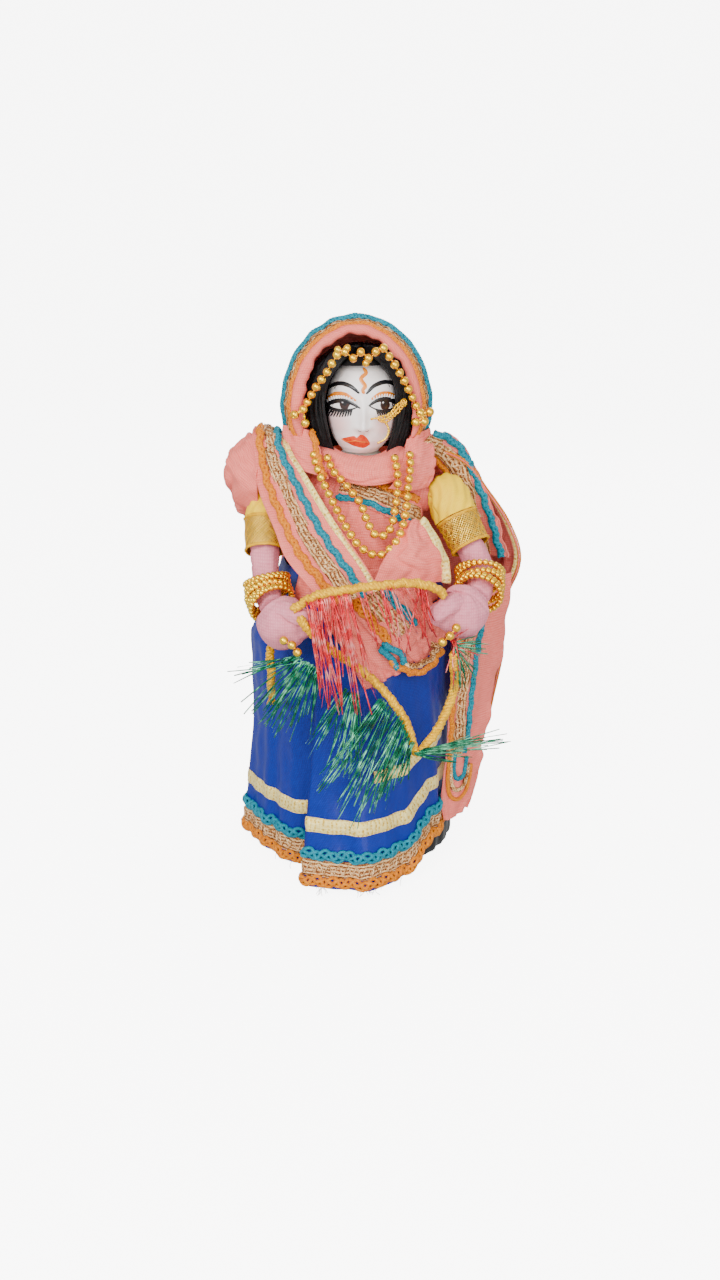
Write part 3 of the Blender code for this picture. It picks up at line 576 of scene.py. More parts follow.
def cloth(name, grid, look, body, slot, replaces=(), thick=0.5, held="draped", rests_on=(), spare=1.0,
          normals=None):
    """A sheet of cloth with real thickness over a grid of points."""
    tall, wide = grid.shape[:2]
    up = grid_normals(grid) if normals is None else normals
    across = np.concatenate([np.zeros((tall, 1)),
                             np.cumsum(np.linalg.norm(np.diff(grid, axis=1), axis=2), 1)], 1)
    down = np.concatenate([np.zeros((1, wide)),
                           np.cumsum(np.linalg.norm(np.diff(grid, axis=0), axis=2), 0)], 0)
    uvs = np.stack([across, down], 2).reshape(-1, 2) / 10
    top = (grid + up * thick / 2).reshape(-1, 3)
    under = (grid - up * thick / 2).reshape(-1, 3)
    size = wide * tall
    faces = grid_faces(wide, tall)
    faces += [tuple(i + size for i in f[::-1]) for f in grid_faces(wide, tall)]
    rim = list(range(wide)) + [j * wide + wide - 1 for j in range(1, tall)]
    rim += [(tall - 1) * wide + i for i in range(wide - 2, -1, -1)] + [j * wide
                                                                       for j in range(tall - 2, 0, -1)]
    faces += [(b, a, size + a, size + b) for a, b in zip(rim, rim[1:] + rim[:1])]
    made = piece(name, np.concatenate([top, under]), [f[::-1] for f in faces], look, body, slot, replaces,
                 np.concatenate([uvs, uvs]))
    if held:
        flat = sheet_size(grid)
    return made


def saree(name, grid, replaces=(), body="root", **more):
    """A sheet of the pink saree cloth."""
    return cloth(name, grid, "pink", body, "pink_cloth", replaces, **more)


def strip_on(grid, left, right, lift, first=0.0, last=1.0, cells=4):
    """A narrow grid lying on a cloth grid between two shares of its width."""
    tall, wide = grid.shape[:2]
    up = grid_normals(grid)
    places = np.linspace(left, right, cells + 1) * (wide - 1)
    rows = np.arange(round(first * (tall - 1)), round(last * (tall - 1)) + 1)
    points, normals = [], []
    for j in rows:
        points.append([[np.interp(p, range(wide), grid[j, :, k]) for k in range(3)] for p in places])
        normals.append([[np.interp(p, range(wide), up[j, :, k]) for k in range(3)] for p in places])
    normals = unit(np.array(normals))
    return np.array(points) + normals * lift, normals


SWAY_EVERY, THREAD_STEP, RIBBON_STEP = 8.5, 0.45, 0.8  # millimetres along a trim


def fine(line, normals, step=THREAD_STEP):
    """A line and its normals again, with points about step apart."""
    run = run_along(line)
    stations = np.linspace(0, run[-1], max(4, int(run[-1] / step)))
    smooth = [np.stack([np.interp(stations, run, rows[:, k]) for k in range(3)], 1)
              for rows in (line, normals)]
    return smooth[0], unit(smooth[1])


TRIMS = {"orange": ("plait", "orange", "orange_braid"), "zari": ("zigzag", "zari", "zari"),
         "teal": ("plait", "teal", "teal_braid"), "lace": ("flat", "lace", "gold_braid")}


def border(name, grid, spans, body, replaces=None):
    """Trims on a cloth grid: each span is a TRIMS label, or a label with its own kind, look and slot,
    and then the trim's left share, right share and lift."""
    made = []
    replaces = replaces or {}
    for label, *rest in spans:
        kind, look, slot = rest[:3] if len(rest) == 6 else TRIMS[label]
        left, right, lift = rest[-3:]
        parts = Parts()
        strip, normals = strip_on(grid, left, right, lift)
        middle = strip.shape[1] // 2
        width = np.linalg.norm(strip[:, -1] - strip[:, 0], axis=1).mean()
        if kind == "plait":
            line, ups = fine(strip[:, middle], normals[:, middle])
            sway = 0.12 * width * np.sin(np.arange(len(line)) * THREAD_STEP * 2 * math.pi / SWAY_EVERY)
            line = line + frames(line, ups)[2] * sway[:, None]
            plait(parts, line, ups, width, min(0.85, width / 4.2), width * 2.2)
        else:
            line, ups = fine(strip[:, middle], normals[:, middle], RIBBON_STEP)
            _, up, across = frames(line, ups)
            shares = np.linspace(-0.5, 0.5, 7)
            crown = 0.35 * (1 - (2 * shares) ** 2)
            ripple = 0.06 * np.sin(np.arange(len(line)) * 1.9)
            points = line[:, None] + across[:, None] * (shares * width)[None, :, None]
            points = points + up[:, None] * (crown[None, :] + ripple[:, None] * (crown > 0.2) + 0.05)[:,
                                                                                                      :,
                                                                                                      None]
            run = np.arange(len(line)) * 0.08
            uvs = np.stack(np.broadcast_arrays((shares * width / 10)[None, :], run[:, None]), 2)
            low = points - up[:, None] * 0.3
            wide = len(shares)
            faces = grid_faces(wide, len(line)) + [
                tuple(i + wide * len(line) for i in f[::-1]) for f in grid_faces(wide, len(line))]
            rim = [j * wide for j in range(len(line))]
            faces += [(a, b, b + wide * len(line), a + wide * len(line)) for a, b in zip(rim, rim[1:])]
            faces += [(b + wide - 1, a + wide - 1, a + wide - 1 + wide * len(line),
                       b + wide - 1 + wide * len(line))
                      for a, b in zip(rim, rim[1:])]
            parts.add(np.concatenate([points.reshape(-1, 3), low.reshape(-1, 3)]), faces,
                      np.concatenate([uvs.reshape(-1, 2)] * 2))
            for edge in (0, wide - 1):
                tube(parts, points[:, edge], 0.22, 5, up)
            if kind == "zigzag":
                wave = 0.30 * width * np.sin(2 * math.pi * np.arange(len(line)) * RIBBON_STEP / 4.2)
                tube(parts, line + across * wave[:, None] + up * 0.5, 0.32, 6, up)
        made.append(parts.piece(name + "_" + label, look, body, slot, replaces.get(label, ())))
    return made


# ---------------------------------------------------------------- the doll's surfaces

SKIRT_TOP = 136.0
SKIRT_OUTLINES = [
    (4.0, [(-180, 48), (-150, 49), (-120, 53), (-90, 55), (-60, 53.5), (-40, 52), (-26, 50), (-16, 68.5),
           (0, 67.5),
           (12, 63.5), (22, 59), (44, 48.5), (63, 45.5), (90, 45), (120, 45.5), (150, 46.5), (180, 48)]),
    (60.0, [(-180, 42), (-150, 44), (-120, 47), (-90, 49), (-60, 47.5), (-40, 46), (-26, 45.5), (-16, 55.5),
            (0, 54.5), (12, 53), (22, 51), (44, 46), (63, 43), (90, 41), (120, 40), (150, 41), (180, 42)]),
    (102.0, [(-180, 36), (-150, 38), (-120, 44), (-90, 49.5), (-60, 47.5), (-40, 46), (-26, 45.5),
             (-16, 47),
             (0, 47), (12, 46.5), (22, 46), (44, 43), (63, 42), (90, 41), (120, 38), (150, 36), (180, 36)]),
    (136.0, [(-180, 27), (-150, 28.5), (-120, 32), (-90, 34), (-60, 34.5), (-40, 36.5), (-26, 38),
             (-16, 38.5),
             (0, 38.8), (12, 38.5), (22, 38), (44, 36), (63, 35), (90, 34), (120, 32), (150, 28.5),
             (180, 27)]),
    (150.0, [(-180, 22), (-90, 31), (-40, 35), (0, 36), (44, 34), (90, 31), (180, 22)])]
BODY_OUTLINES = [(104, (37, 40, 30)), (122, (32, 38, 25)), (136, (28, 35, 21)), (150, (26.5, 31, 18)),
                 (162, (27, 25, 15)), (171, (25, 19, 13)), (178, (17, 13.5, 10.5)), (184.3, (7, 8, 7))]
HEM_RISE = [(-180, 0), (22, 0), (38, 1), (150, 1), (172, 0), (180, 0)]
HOOD_RINGS = [(187.8, (25, 23)), (195, (29, 25)), (205, (30.3, 26)), (215, (28.6, 25.5)), (225, (24.6, 23)),
              (233, (18.2, 18.2)), (238, (10.5, 13)), (240.4, (3, 3.2))]
HOOD_X, HOOD_Y, HOOD_RIM, HOOD_MIDDLE = -1.5, -1.0, -13.0, 208.0
HOOD_LOW, HOOD_HIGH = 187.8, 240.4


def polar(angle, radius, z):
    turn = math.radians(angle)
    return (radius * math.sin(turn), -radius * math.cos(turn), z)


def skirt_radius(angle, z):
    return along([(level, along(outline, angle)) for level, outline in SKIRT_OUTLINES], z)


def body_radius(angle, z):
    half, front, back = along(BODY_OUTLINES, z)
    deep = front if abs(angle) < 90 else back
    turn = math.radians(angle)
    return 1 / math.hypot(math.sin(turn) / half, math.cos(turn) / deep)


def hem_height(angle):
    return 4.0 + 8.9 * along(HEM_RISE, angle)


def pleat(grid, depth, count, knife=0.35, wander=0.3, phase=0.0, fade=0.0, seed=3):
    """Folds that run down a cloth grid; fade is how much shallower they are at the top than at the foot."""
    tall, wide = grid.shape[:2]
    random = np.random.default_rng(seed)
    u = np.linspace(0, 1, wide)[None, :]
    v = np.linspace(0, 1, tall)[:, None]
    drift = wander * (np.sin(2 * math.pi * (0.7 * v + phase)) + 0.5 * np.sin(5 * math.pi * v + seed))
    t = 2 * math.pi * (u * count + drift * u * (1 - u) * 4 + phase)
    wave = np.sin(t) + knife * np.sin(2 * t
                                      + 0.6) + 0.3 * np.sin(2 * math.pi * (u * 2.3 * count + 1.7 * v
                                                                           + phase))
    crease = random.normal(0, 1, (7, 9))
    rows = np.array([np.interp(u[0] * 8, range(9), row) for row in crease])
    fine_noise = np.array([np.interp(v[:, 0] * 6, range(7), rows[:, i]) for i in range(wide)]).T
    strength = 1 - fade * (1 - v)
    return grid + grid_normals(grid) * ((wave * 0.7 + fine_noise * 0.35) * depth * strength)[..., None]


def flutter(grid, edge, depth, count, reach=0.25, phase=0.0):
    """A wavy edge: edge is "left", "right" or "foot"; reach is the share of the cloth it fades over."""
    tall, wide = grid.shape[:2]
    u = np.linspace(0, 1, wide)[None, :]
    v = np.linspace(0, 1, tall)[:, None]
    near, run = {"left": (u, v), "right": (1 - u, v), "foot": (1 - v, u)}[edge]
    wave = np.sin(2 * math.pi * (run * count + phase)) + 0.4 * np.sin(2 * math.pi * (run * count * 2.3
                                                                                     + 0.2))
    share = np.clip(1 - near / reach, 0, 1) ** 1.5
    return grid + grid_normals(grid) * (wave * share * depth)[..., None]


def between(radius, left, right, lift, wide, tall):
    """A cloth grid wrapped on the body or the skirt between a left and a right edge of (angle, z) points."""
    ends = [even_line([(a, z, 0) for a, z in edge], 1.0) for edge in (left, right)]
    grid = []
    for v in np.linspace(0, 1, tall + 1):
        (a, za, _), (b, zb, _) = [[np.interp(v * (len(e) - 1), range(len(e)), e[:, k]) for k in range(3)]
                                  for e in ends]
        row = [(a + (b - a) * u, za + (zb - za) * u) for u in np.linspace(0, 1, wide + 1)]
        grid.append([polar(angle, radius(angle, z) + lift, z) for angle, z in row])
    return np.array(grid)


# ---------------------------------------------------------------- skirt and base


def skirt_grid():
    """Rows run round the skirt and columns rise from the hem.

    The front pleat laps over what is left of it."""
    around = []
    for angle in range(-180, 181, 2):
        around.append((float(angle), 0.0))
        if angle == -20:
            around += [(-19.0, 0.0), (-18.5, 0.35), (-20.5, 0.75), (-22.3, 1.0), (-21.0, 1.0)]
    heights = np.concatenate([np.arange(35.0), 34.0 + np.linspace(0, 1, 41)[1:] * 98.0])
    grid = []
    for angle, lap in around:
        row = []
        foot = hem_height(angle)
        for h in heights:
            z = foot + (h if h <= 34 else 34 + (h - 34) / 98 * (SKIRT_TOP - foot - 34))
            low = min(1.0, (SKIRT_TOP - z) / 132)
            before, after = skirt_radius(-26, z), skirt_radius(-16, z)
            if -26 < angle < -16 and lap == 0:
                inner = angle <= -19
                radius = before - 1.0 if inner else after
            elif lap > 0:
                radius = before - 1.0 + (after - before + 1.0) * lap
            else:
                radius = skirt_radius(angle, z)
            turn = math.radians(angle)
            folds = 0.55 * math.sin(9 * turn + 1.2) + 0.35 * math.sin(17 * turn
                                                                      + 0.02 * z) + 0.25 * math.sin(
                31 * turn + 0.05 * z)
            pucker = 0.30 * math.sin(0.35 * z + 5 * turn) * math.sin(11 * turn)
            row.append(polar(angle, radius + (folds * low ** 0.6 * 2.0 - 0.6 * low + pucker), z))
        grid.append(row)
    return np.array(grid)


def build_skirt():
    grid = skirt_grid()
    columns = grid.shape[1] - 1
    skirt = cloth("skirt_cloth", grid, "blue", "root", "blue_satin", ["skirt"], thick=0.6, held="hung",
                  rests_on=["skirt_wadding"])
    bands = [("orange", 0.3, 5.4, 0.4),
             ("zari", 5.0, 12.2, 0.5),
             ("teal", 11.9, 17.2, 0.5),
             ("lace", 24.2, 30.3, 0.4)]
    bands = [(label, low / columns, high / columns, lift) for label, low, high, lift in bands]
    border("skirt_band", grid, bands, "root",
           {"orange": ["skirt_orange_braid"], "zari": ["skirt_zari_strip"],
                                               "teal": ["skirt_teal_braid"], "lace": ["skirt_gold_lace"]})
    extra = grid[[k for k, row in enumerate(grid) if row[0][0] > 6 and row[0][1] < -22]]
    border("skirt_ribbon", extra, [("cream", "flat", "lace", "gold_braid", 39 / columns, 41.2 / columns,
                                    0.6)], "root")
    return skirt


def build_wadding():
    """Cotton wadding under the skirt: lumpy, and pulled in where the front pleat laps over."""
    levels, sides = np.linspace(14.0, 133.0, 60), 120
    points = []
    for z in levels:
        for i in range(sides):
            angle = -180 + 360 * i / sides
            flat = skirt_radius(angle, z)
            if -32 < angle < 26:
                flat = min(flat, skirt_radius(-30, z), skirt_radius(30, z) + 6)
            turn = math.radians(angle)
            lump = 0.5 * math.sin(7 * turn + 0.11 * z) + 0.4 * math.sin(13 * turn - 0.17 * z)
            points.append(polar(angle, flat - 4.2 + lump, z))
    points += [(0, 0, levels[0]), (0, 0, levels[-1])]
    faces = [f[::-1] for f in grid_faces(sides, len(levels), wrap=True)]
    foot, top = len(points) - 2, len(points) - 1
    last = (len(levels) - 1) * sides
    faces += [(foot, (i + 1) % sides, i) for i in range(sides)]
    faces += [(top, last + i, last + (i + 1) % sides) for i in range(sides)]
    made = piece("skirt_wadding", points, faces, "wadding", "root", "stuffing", ["skirt_padding"])


def build_base():
    """Black satin pulled over the turned board and gathered under it."""
    rings = [(12.0, 0.3), (30.0, 0.3), (40.0, 0.1), (42.6, -0.3), (43.6, -1.6), (43.9, -4.5), (43.8, -8.5),
             (43.3, -11.2), (42.0, -12.0), (36.0, -12.1), (30.0, -12.0)]
    grid = []
    for turn in np.linspace(0, 360, 181):
        a = math.radians(turn)
        row = []
        for radius, drop in rings:
            side = 1.0 if 40 < radius and drop < 0 else 0.0
            tuck = side * (0.35 * math.sin(23 * a) + 0.3 * math.sin(41 * a + 1.0)) * min(1.0, -drop / 6)
            row.append(polar(turn, radius + tuck - 0.4, 12.3 + drop))
        grid.append(row)
    grid = np.array(grid)
    dense = np.array([[spline(row, u) for u in np.linspace(0, 1, 31)] for row in grid])
    dense[:, :, 2] = np.clip(dense[:, :, 2], 0.15, 12.5)
    cloth("base_satin", dense[:, ::-1], "satin", "root", "black_satin", ["base_cover"], thick=0.3,
          held="stretched", rests_on=["base_board"])


def build_hem_threads():
    """Raw white threads that show below the front hem."""
    random = np.random.default_rng(11)
    parts = Parts()
    for k in range(26):
        angle = random.uniform(-18, 12) if k < 18 else random.uniform(-60, 20)
        radius = skirt_radius(angle, 4.0)
        start = np.array(polar(angle, radius - 0.6, 4.6))
        sway = random.normal(0, 1.4, 3) + np.array(polar(angle, random.uniform(0.2, 2.0), 0))
        end = start + sway * [1.3, 1, 0] + [0, 0, -random.uniform(2.4, 3.8)]
        end[2] = max(end[2], 0.5)
        tube(parts, even_line([start, (start + end) / 2 + random.normal(0, 0.6, 3), end], 0.6), 0.13, 5)
    parts.piece("hem_threads", "white_paint", "root", "blue_satin")


def laid_on(grid, route):
    """A line through (x, z) points, laid on the cloth grid, and the cloth's normals along it."""
    flat = even_line([(x, z, 0) for x, z in route], 0.4)
    normals = grid_normals(grid)
    line, ups = [], []
    for x, z, _ in flat:
        far = (grid[..., 0] - x) ** 2 + (grid[..., 2] - z) ** 2
        share = np.exp(-far / 1.5)[..., None]
        depth = (grid[..., 1:2] * share).sum((0, 1)) / share.sum()
        line.append((x, float(depth[0]), z))
        ups.append((normals * share).sum((0, 1)))
    return np.array(line), unit(np.array(ups))


# ---------------------------------------------------------------- saree

SASH = [[(-46, 3, 193.6), (-39, 3, 193.2), (-32, 3, 190)],
        [(-46, -9.5, 192.4), (-38.5, -11.2, 192.6), (-31.5, -10.5, 190)],
        [(-44.5, -16, 184.5), (-37, -18, 185.5), (-28, -17, 184.5)],
        [(-43, -20.5, 171), (-32, -24.5, 174), (-21, -24.8, 176)],
        [(-36, -29.5, 156), (-24, -34, 159), (-11, -34.5, 162)],
        [(-31, -38, 146), (-17, -42, 149.5), (-4, -40.5, 153)],
        [(-21.5, -48, 137), (-9, -49, 140.5), (3, -46, 144)],
        [(-14.5, -49.5, 129), (-3, -50.5, 132), (8, -47.5, 135)]]
SHOULDER_HUMP = [
    [(-30, 20, 180), (-33, 6, 186), (-34, -6, 186), (-30, -13, 185)],
    [(-38, 22, 184), (-43, 6, 191), (-44, -8.5, 191), (-37, -15.5, 188)],
    [(-47, 24, 178), (-54, 6, 184), (-54, -10, 184), (-43, -18, 179)],
    [(-50, 26, 168), (-58, 6, 171), (-57.5, -9, 171), (-44, -19.5, 170)],
    [(-46, 28, 157), (-54, 10, 159), (-54, -3, 160), (-44, -12, 161)],
    [(-42, 30, 149), (-48, 14, 151), (-50, 4, 153), (-44, -1, 155)]]
SIDE_PLEATS = [[(18, -36.5, 161.5), (22, -36, 162), (26, -33, 161)],
               [(14, -42.5, 153.5), (23, -42.5, 154), (32, -36, 152.5)],
               [(9, -46, 146), (22, -47.5, 146.5), (37, -37.5, 144)],
               [(6, -46.5, 139), (22, -47, 138.5), (38, -38, 135.5)]]
BACK_DRAPE = [
    [(22.3, -5, 191), (16.5, 14.5, 191), (0, 20.6, 191), (-15.5, 15, 190.5)],
    [(30, -5, 186.2), (24, 14, 186.2), (0, 22, 186.2), (-18, 18, 185.5)],
    [(46, -3, 179), (37, 18, 180), (2, 27, 181), (-20, 23, 180)],
    [(56, -2, 166), (46, 23, 167), (3, 33, 168), (-23, 32, 168)],
    [(66, -1, 150), (52, 27, 151), (3, 38, 152), (-29, 36, 152)],
    [(71, 0, 132), (55, 29, 132), (3, 42, 132), (-36, 39, 132)],
    [(61.5, -2, 108), (52, 30, 108), (2, 45, 108), (-41, 40, 108)],
    [(65, -3, 92), (53, 30, 90), (1, 48, 90), (-43, 41, 90)],
    [(59, -3, 62), (50, 31, 60), (0, 52, 60), (-42, 44, 60)]]
PALLU_END = [
    [(47, -17, 128), (57, -12, 129), (68, -5, 130)],
    [(42.5, -25, 104), (54, -19, 104.5), (66, -9, 105)], [(40, -26, 80), (51, -19.5, 80), (62, -10, 80)],
    [(39.5, -27, 55), (49, -21, 55), (58, -12, 55)], [(37.5, -29, 40), (47, -23, 40), (56, -14, 40)],
    [(37, -29.5, 27), (45.5, -24, 27), (54, -15, 27)], [(39, -29, 18), (44.5, -24.5, 17.5), (50, -18, 19)]]
PALLU_TURN = [(40.2, 52), (39.6, 44), (39.6, 36), (41.3, 29.6), (45, 27.2), (48.6, 30), (50, 36),
              (50.6, 42)]
VEIL_RIGHT = [[(20, -13, 191), (24.5, -11.5, 193.5), (30, -7, 195)],
              [(18.5, -18.5, 185), (25, -15.5, 187), (31.5, -10, 188)],
              [(16, -24, 178), (24.5, -21, 178.5), (32, -15, 178)],
              [(12, -26, 173), (21, -23.5, 171.5), (29, -17.5, 172)]]
HIP_TURN = [(6, 108.5), (11.5, 103), (17, 98.6), (23, 97), (28.5, 98.6), (33, 103)]


NECK_FOLD = [[(-14, -5, 188), (-8, -11.5, 185.5), (1, -13.5, 184), (9, -11.5, 185), (15, -5, 188)],
             [(-18, -10, 187.5), (-9, -18, 186.3), (2, -21.3, 184.8), (12, -18.5, 185.6), (19, -11, 187.5)],
             [(-20, -15, 184.5), (-10, -23.5, 182.8), (2, -26.3, 181), (14, -23.2, 182), (22, -14, 184.5)],
             [(-20, -17.5, 181), (-10, -25.5, 179), (2, -28.2, 177), (14, -25.8, 178), (22.5, -17, 181)],
             [(-17, -17, 178.5), (-9, -24.5, 177), (2, -27.4, 175), (13, -25, 176), (20, -17, 178.5)]]
VEIL_FOLD = [[(21, -12, 186), (27, -11.5, 190.5), (33, -7, 194)],
             [(30, -3, 181), (36, -4, 185.5), (43, -2.5, 189)],
             [(37, 2, 172), (43.5, 0, 176), (50, -1, 178)], [(42, 4, 160), (49, 1.5, 163), (56, -2, 165)],
             [(45, 5, 148), (53, 2.5, 150), (62, -2.5, 151)],
             [(46, 6, 136), (56, 3.5, 136), (66.5, -2.5, 136)]]
VEIL_LEFT = [[(-33, -6, 196), (-26, -11, 196), (-19, -13, 194)],
             [(-33, -11, 189), (-25, -15.5, 188), (-16.5, -19, 187)],
             [(-31, -16, 180), (-23, -21, 179), (-13.5, -27.5, 177.5)]]


def build_saree():
    blouse = [[polar(a, body_radius(a, z) + 0.7 + 0.2 * math.sin(0.5 * z + 0.1 * a), z)
               for z in np.linspace(106, 182, 30)] for a in range(-180, 181, 5)]
    cloth("blouse_cloth", np.array(blouse), "yellow", "root", "yellow_cloth", ["blouse"], held="draped",
          rests_on=["body_padding"])

    chest = between(body_radius, [(-62, 181), (-62, 168), (-60, 152), (-58, 139)],
                    [(62, 181), (64, 168), (62, 152), (60, 139)], 3.4, 90, 60)
    chest = pleat(chest, 0.55, 9, 0.5, 0.5, seed=5)
    saree("chest_cloth", chest, ["chest_drape"], rests_on=["blouse_cloth"])

    for name, inner, outer, lift, folds, seed in (
            ("waist_cloth", [(-44, 142), (-44, 125)], [(60, 141), (60, 122)], 1.5, 6, 31),
            ("hip_flap", [(30, 120), (24, 108), (30, 100)], [(66, 124), (66, 112), (52, 104)], 3.2, 3, 32)):
        grid = pleat(between(skirt_radius, inner, outer, lift, 80, 30), 0.6, folds, 0.5, 0.5, seed=seed)
        saree(name, grid, rests_on=["skirt_cloth"])

    neck = pleat(lattice(NECK_FOLD, 70, 40).transpose(1, 0, 2)[:, ::-1], 0.5, 3, 0.3, 0.6, seed=33)
    saree("neck_cloth", neck, rests_on=["blouse_cloth"])
    chest_band = between(body_radius, [(-22, 167.5), (6, 165), (30, 159), (54, 151)],
                         [(-20, 179), (8, 177), (32, 174), (56, 168)], 4.6, 40, 60)
    chest_band = pleat(chest_band, 0.3, 2, 0.2, 0.4, seed=34)
    saree("chest_band", chest_band, rests_on=["chest_cloth"])
    border("chest_trim", chest_band, [("teal", 0.03, 0.24, 0.4),
                                      ("zari", 0.28, 0.68, 0.4),
                                      ("orange", 0.72, 0.97, 0.4)], "root")

    for name, rows, sizes, seed in (("veil_fold", VEIL_FOLD, (60, 110), 35),
                                    ("veil_left", VEIL_LEFT, (40, 60), 36),
                                    ("veil_right", VEIL_RIGHT, (40, 60), 37)):
        grid = flutter(pleat(lattice(rows, *sizes), 0.4, 2, 0.3, 0.4, seed=seed), "right", 0.6, 6, 0.3)
        saree(name, grid, body="root" if name == "veil_fold" else VEIL, rests_on=["blouse_cloth"])
        if name == "veil_fold":
            border(name, grid, [("orange", 0.06, 0.24, 0.4),
                                ("zari", 0.28, 0.68, 0.4),
                                ("teal", 0.72, 0.94, 0.4)], "root")
        elif name == "veil_left":
            border(name, grid, [("orange", 0.78, 0.97, 0.4)], VEIL)

    hip = between(skirt_radius, [(-34, 134.5), (-22, 122), (-8, 108), (2, 92)],
                  [(48, 135), (50, 128), (49, 118), (46, 106)], 2.2, 90, 56)
    hip = flutter(pleat(hip, 0.8, 5, 0.5, 0.6, seed=8), "foot", 0.9, 6, 0.2)
    saree("hip_cloth", hip, ["hip_drape"], rests_on=["skirt_cloth"])
    band = between(skirt_radius, [(-12, 134), (-3, 124), (8, 113), (18, 104)],
                   [(20, 134), (28, 128), (36, 121), (42, 114)], 3.6, 60, 40)
    band = pleat(band, 0.5, 2, 0.3, 0.3, seed=9)
    saree("hip_fold", band, rests_on=["hip_cloth"])
    border("hip_band", band[:32], [("orange", 0.06, 0.24, 0.5),
                              ("zari", 0.28, 0.62, 0.4),
                              ("teal", 0.66, 0.84, 0.5)], "root",
           {"zari": ["hip_zari_border"]})

    for label, look, slot, shift in (("orange", "orange", "orange_braid", 0.0),
                                     ("zari", "zari", "zari", 3.1)):
        turned = Parts()
        line, ups = laid_on(hip, [(x + shift * 0.1, z + shift) for x, z in HIP_TURN[(2 if shift else 1):]])
        plait(turned, line + ups * 3.4, ups, 3.2, 0.7, 5.0)
        turned.piece("hip_turn_" + label, look, "root", slot)
    block = Parts()
    for shift in (-1.6, 1.6):
        line, ups = laid_on(hip, [(8.5 + shift, 110 + shift), (13 + shift, 105.5 + shift),
                                  (16.5 + shift, 101.5 + shift)])
        plait(block, line + ups * 3.6, ups, 3.4, 0.7, 3.6)
    block.piece("hip_turn_teal", "teal", "root", "teal_braid")

    sash = pleat(lattice(SASH, 70, 120), 0.35, 3, 0.3, 0.4, seed=12)
    saree("sash_cloth", sash, ["chest_sash"], rests_on=["chest_cloth"])
    border("sash_band", sash, [("orange", 0.19, 0.34, 0.5),
                               ("zari", 0.37, 0.60, 0.4),
                               ("teal", 0.63, 0.76, 0.5),
                               ("lace", 0.84, 0.985, 0.4)], "root",
           {"orange": ["sash_orange_braid"], "zari": ["sash_zari_strip"], "teal": ["sash_teal_braid"],
            "lace": ["sash_gold_lace"]})

    hump = lattice(SHOULDER_HUMP, 60, 90)
    hump = flutter(pleat(hump, 1.5, 2.4, 0.6, 0.9, seed=15), "right", 0.8, 3, 0.3)
    saree("shoulder_cloth", hump, ["shoulder_pallu"], rests_on=["left_sleeve_cloth"])

    side = pleat(lattice(SIDE_PLEATS, 50, 60), 0.8, 2.2, 0.6, 0.4, seed=18)
    saree("side_cloth", side, ["side_pleats"], rests_on=["chest_cloth"])
    border("side_band", side, [("lace", 0.85, 0.99, 0.5)], "root")

    back = lattice(BACK_DRAPE, 130, 130)
    back = flutter(pleat(back, 1.6, 6, 0.5, 0.6, fade=0.85, seed=21), "foot", 1.2, 7, 0.15)
    saree("back_cloth", back, ["back_drape"], VEIL, held="hung",
          rests_on=["blouse_cloth", "skirt_cloth"])
    border("veil_band", back, [("edge", "plait", "orange", "orange_braid", 0.004, 0.024, 0.4),
                               ("cream", "flat", "zari", "zari", 0.028, 0.055, 0.3),
                               ("teal", 0.060, 0.085, 0.4)], VEIL,
           {"cream": ["veil_zari_border"]})

    end = lattice(PALLU_END, 50, 110)
    end = flutter(pleat(end, 0.8, 2, 0.5, 0.8, fade=0.4, seed=24), "right", 1.0, 5, 0.3)
    saree("pallu_cloth", end, ["pallu_end"], held="hung", rests_on=["skirt_cloth"])
    border("pallu_edge", end[:62], [("orange", 0.03, 0.16, 0.4),
                               ("zari", 0.18, 0.38, 0.4),
                               ("teal", 0.40, 0.52, 0.4)], "root")
    border("veil_edge", back[:, ::-1], [("cream", "flat", "lace", "zari", 0.950, 0.972, 0.3),
                                        ("orange", 0.976, 0.997, 0.4)], VEIL)
    for label, look, slot, shift, width, replaced in (
            ("orange", "orange", "orange_braid", 0.0, 2.2, []),
            ("zari", "zari", "zari", 1.9, 2.4, ["pallu_end_border"]),
            ("teal", "teal", "teal_braid", 4.0, 2.4, [])):
        centre = np.array([45.2, 44.0])
        route = [tuple(centre + (np.array(spot) - centre) * (1 - shift / 7.5) + [0, shift * 0.2])
                 for spot in PALLU_TURN]
        crown = Parts()
        line, ups = laid_on(end, route if shift < 3 else [(route[0][0], 50), *route[1:-1],
                                                          (route[-1][0] + 0.8, 47)])
        plait(crown, line + ups * 0.5, ups, width, 0.55, 4.2)
        crown.piece("pallu_band_" + label, look, "root", slot, replaced)


# ---------------------------------------------------------------- head, hair and hood

HEAD_RINGS = [(185.2, 7.8, 0.2), (187.5, 9.8, 0.5), (191, 12.4, 0.8), (197, 14.6, 1), (205, 15.4, 1),
              (214, 13.8, 1),
              (220, 10.6, 1), (223.5, 6.8, 0.8), (225, 3, 0.6), (225.4, 0.02, 0.6)]
HAIR_RINGS = [(183.2, (17.5, 16)), (190, (20, 18)), (205, (23, 19.5)), (215, (22, 19)), (222, (18.5, 16.5)),
              (227, (12, 11)), (229.5, (3.5, 3.5))]
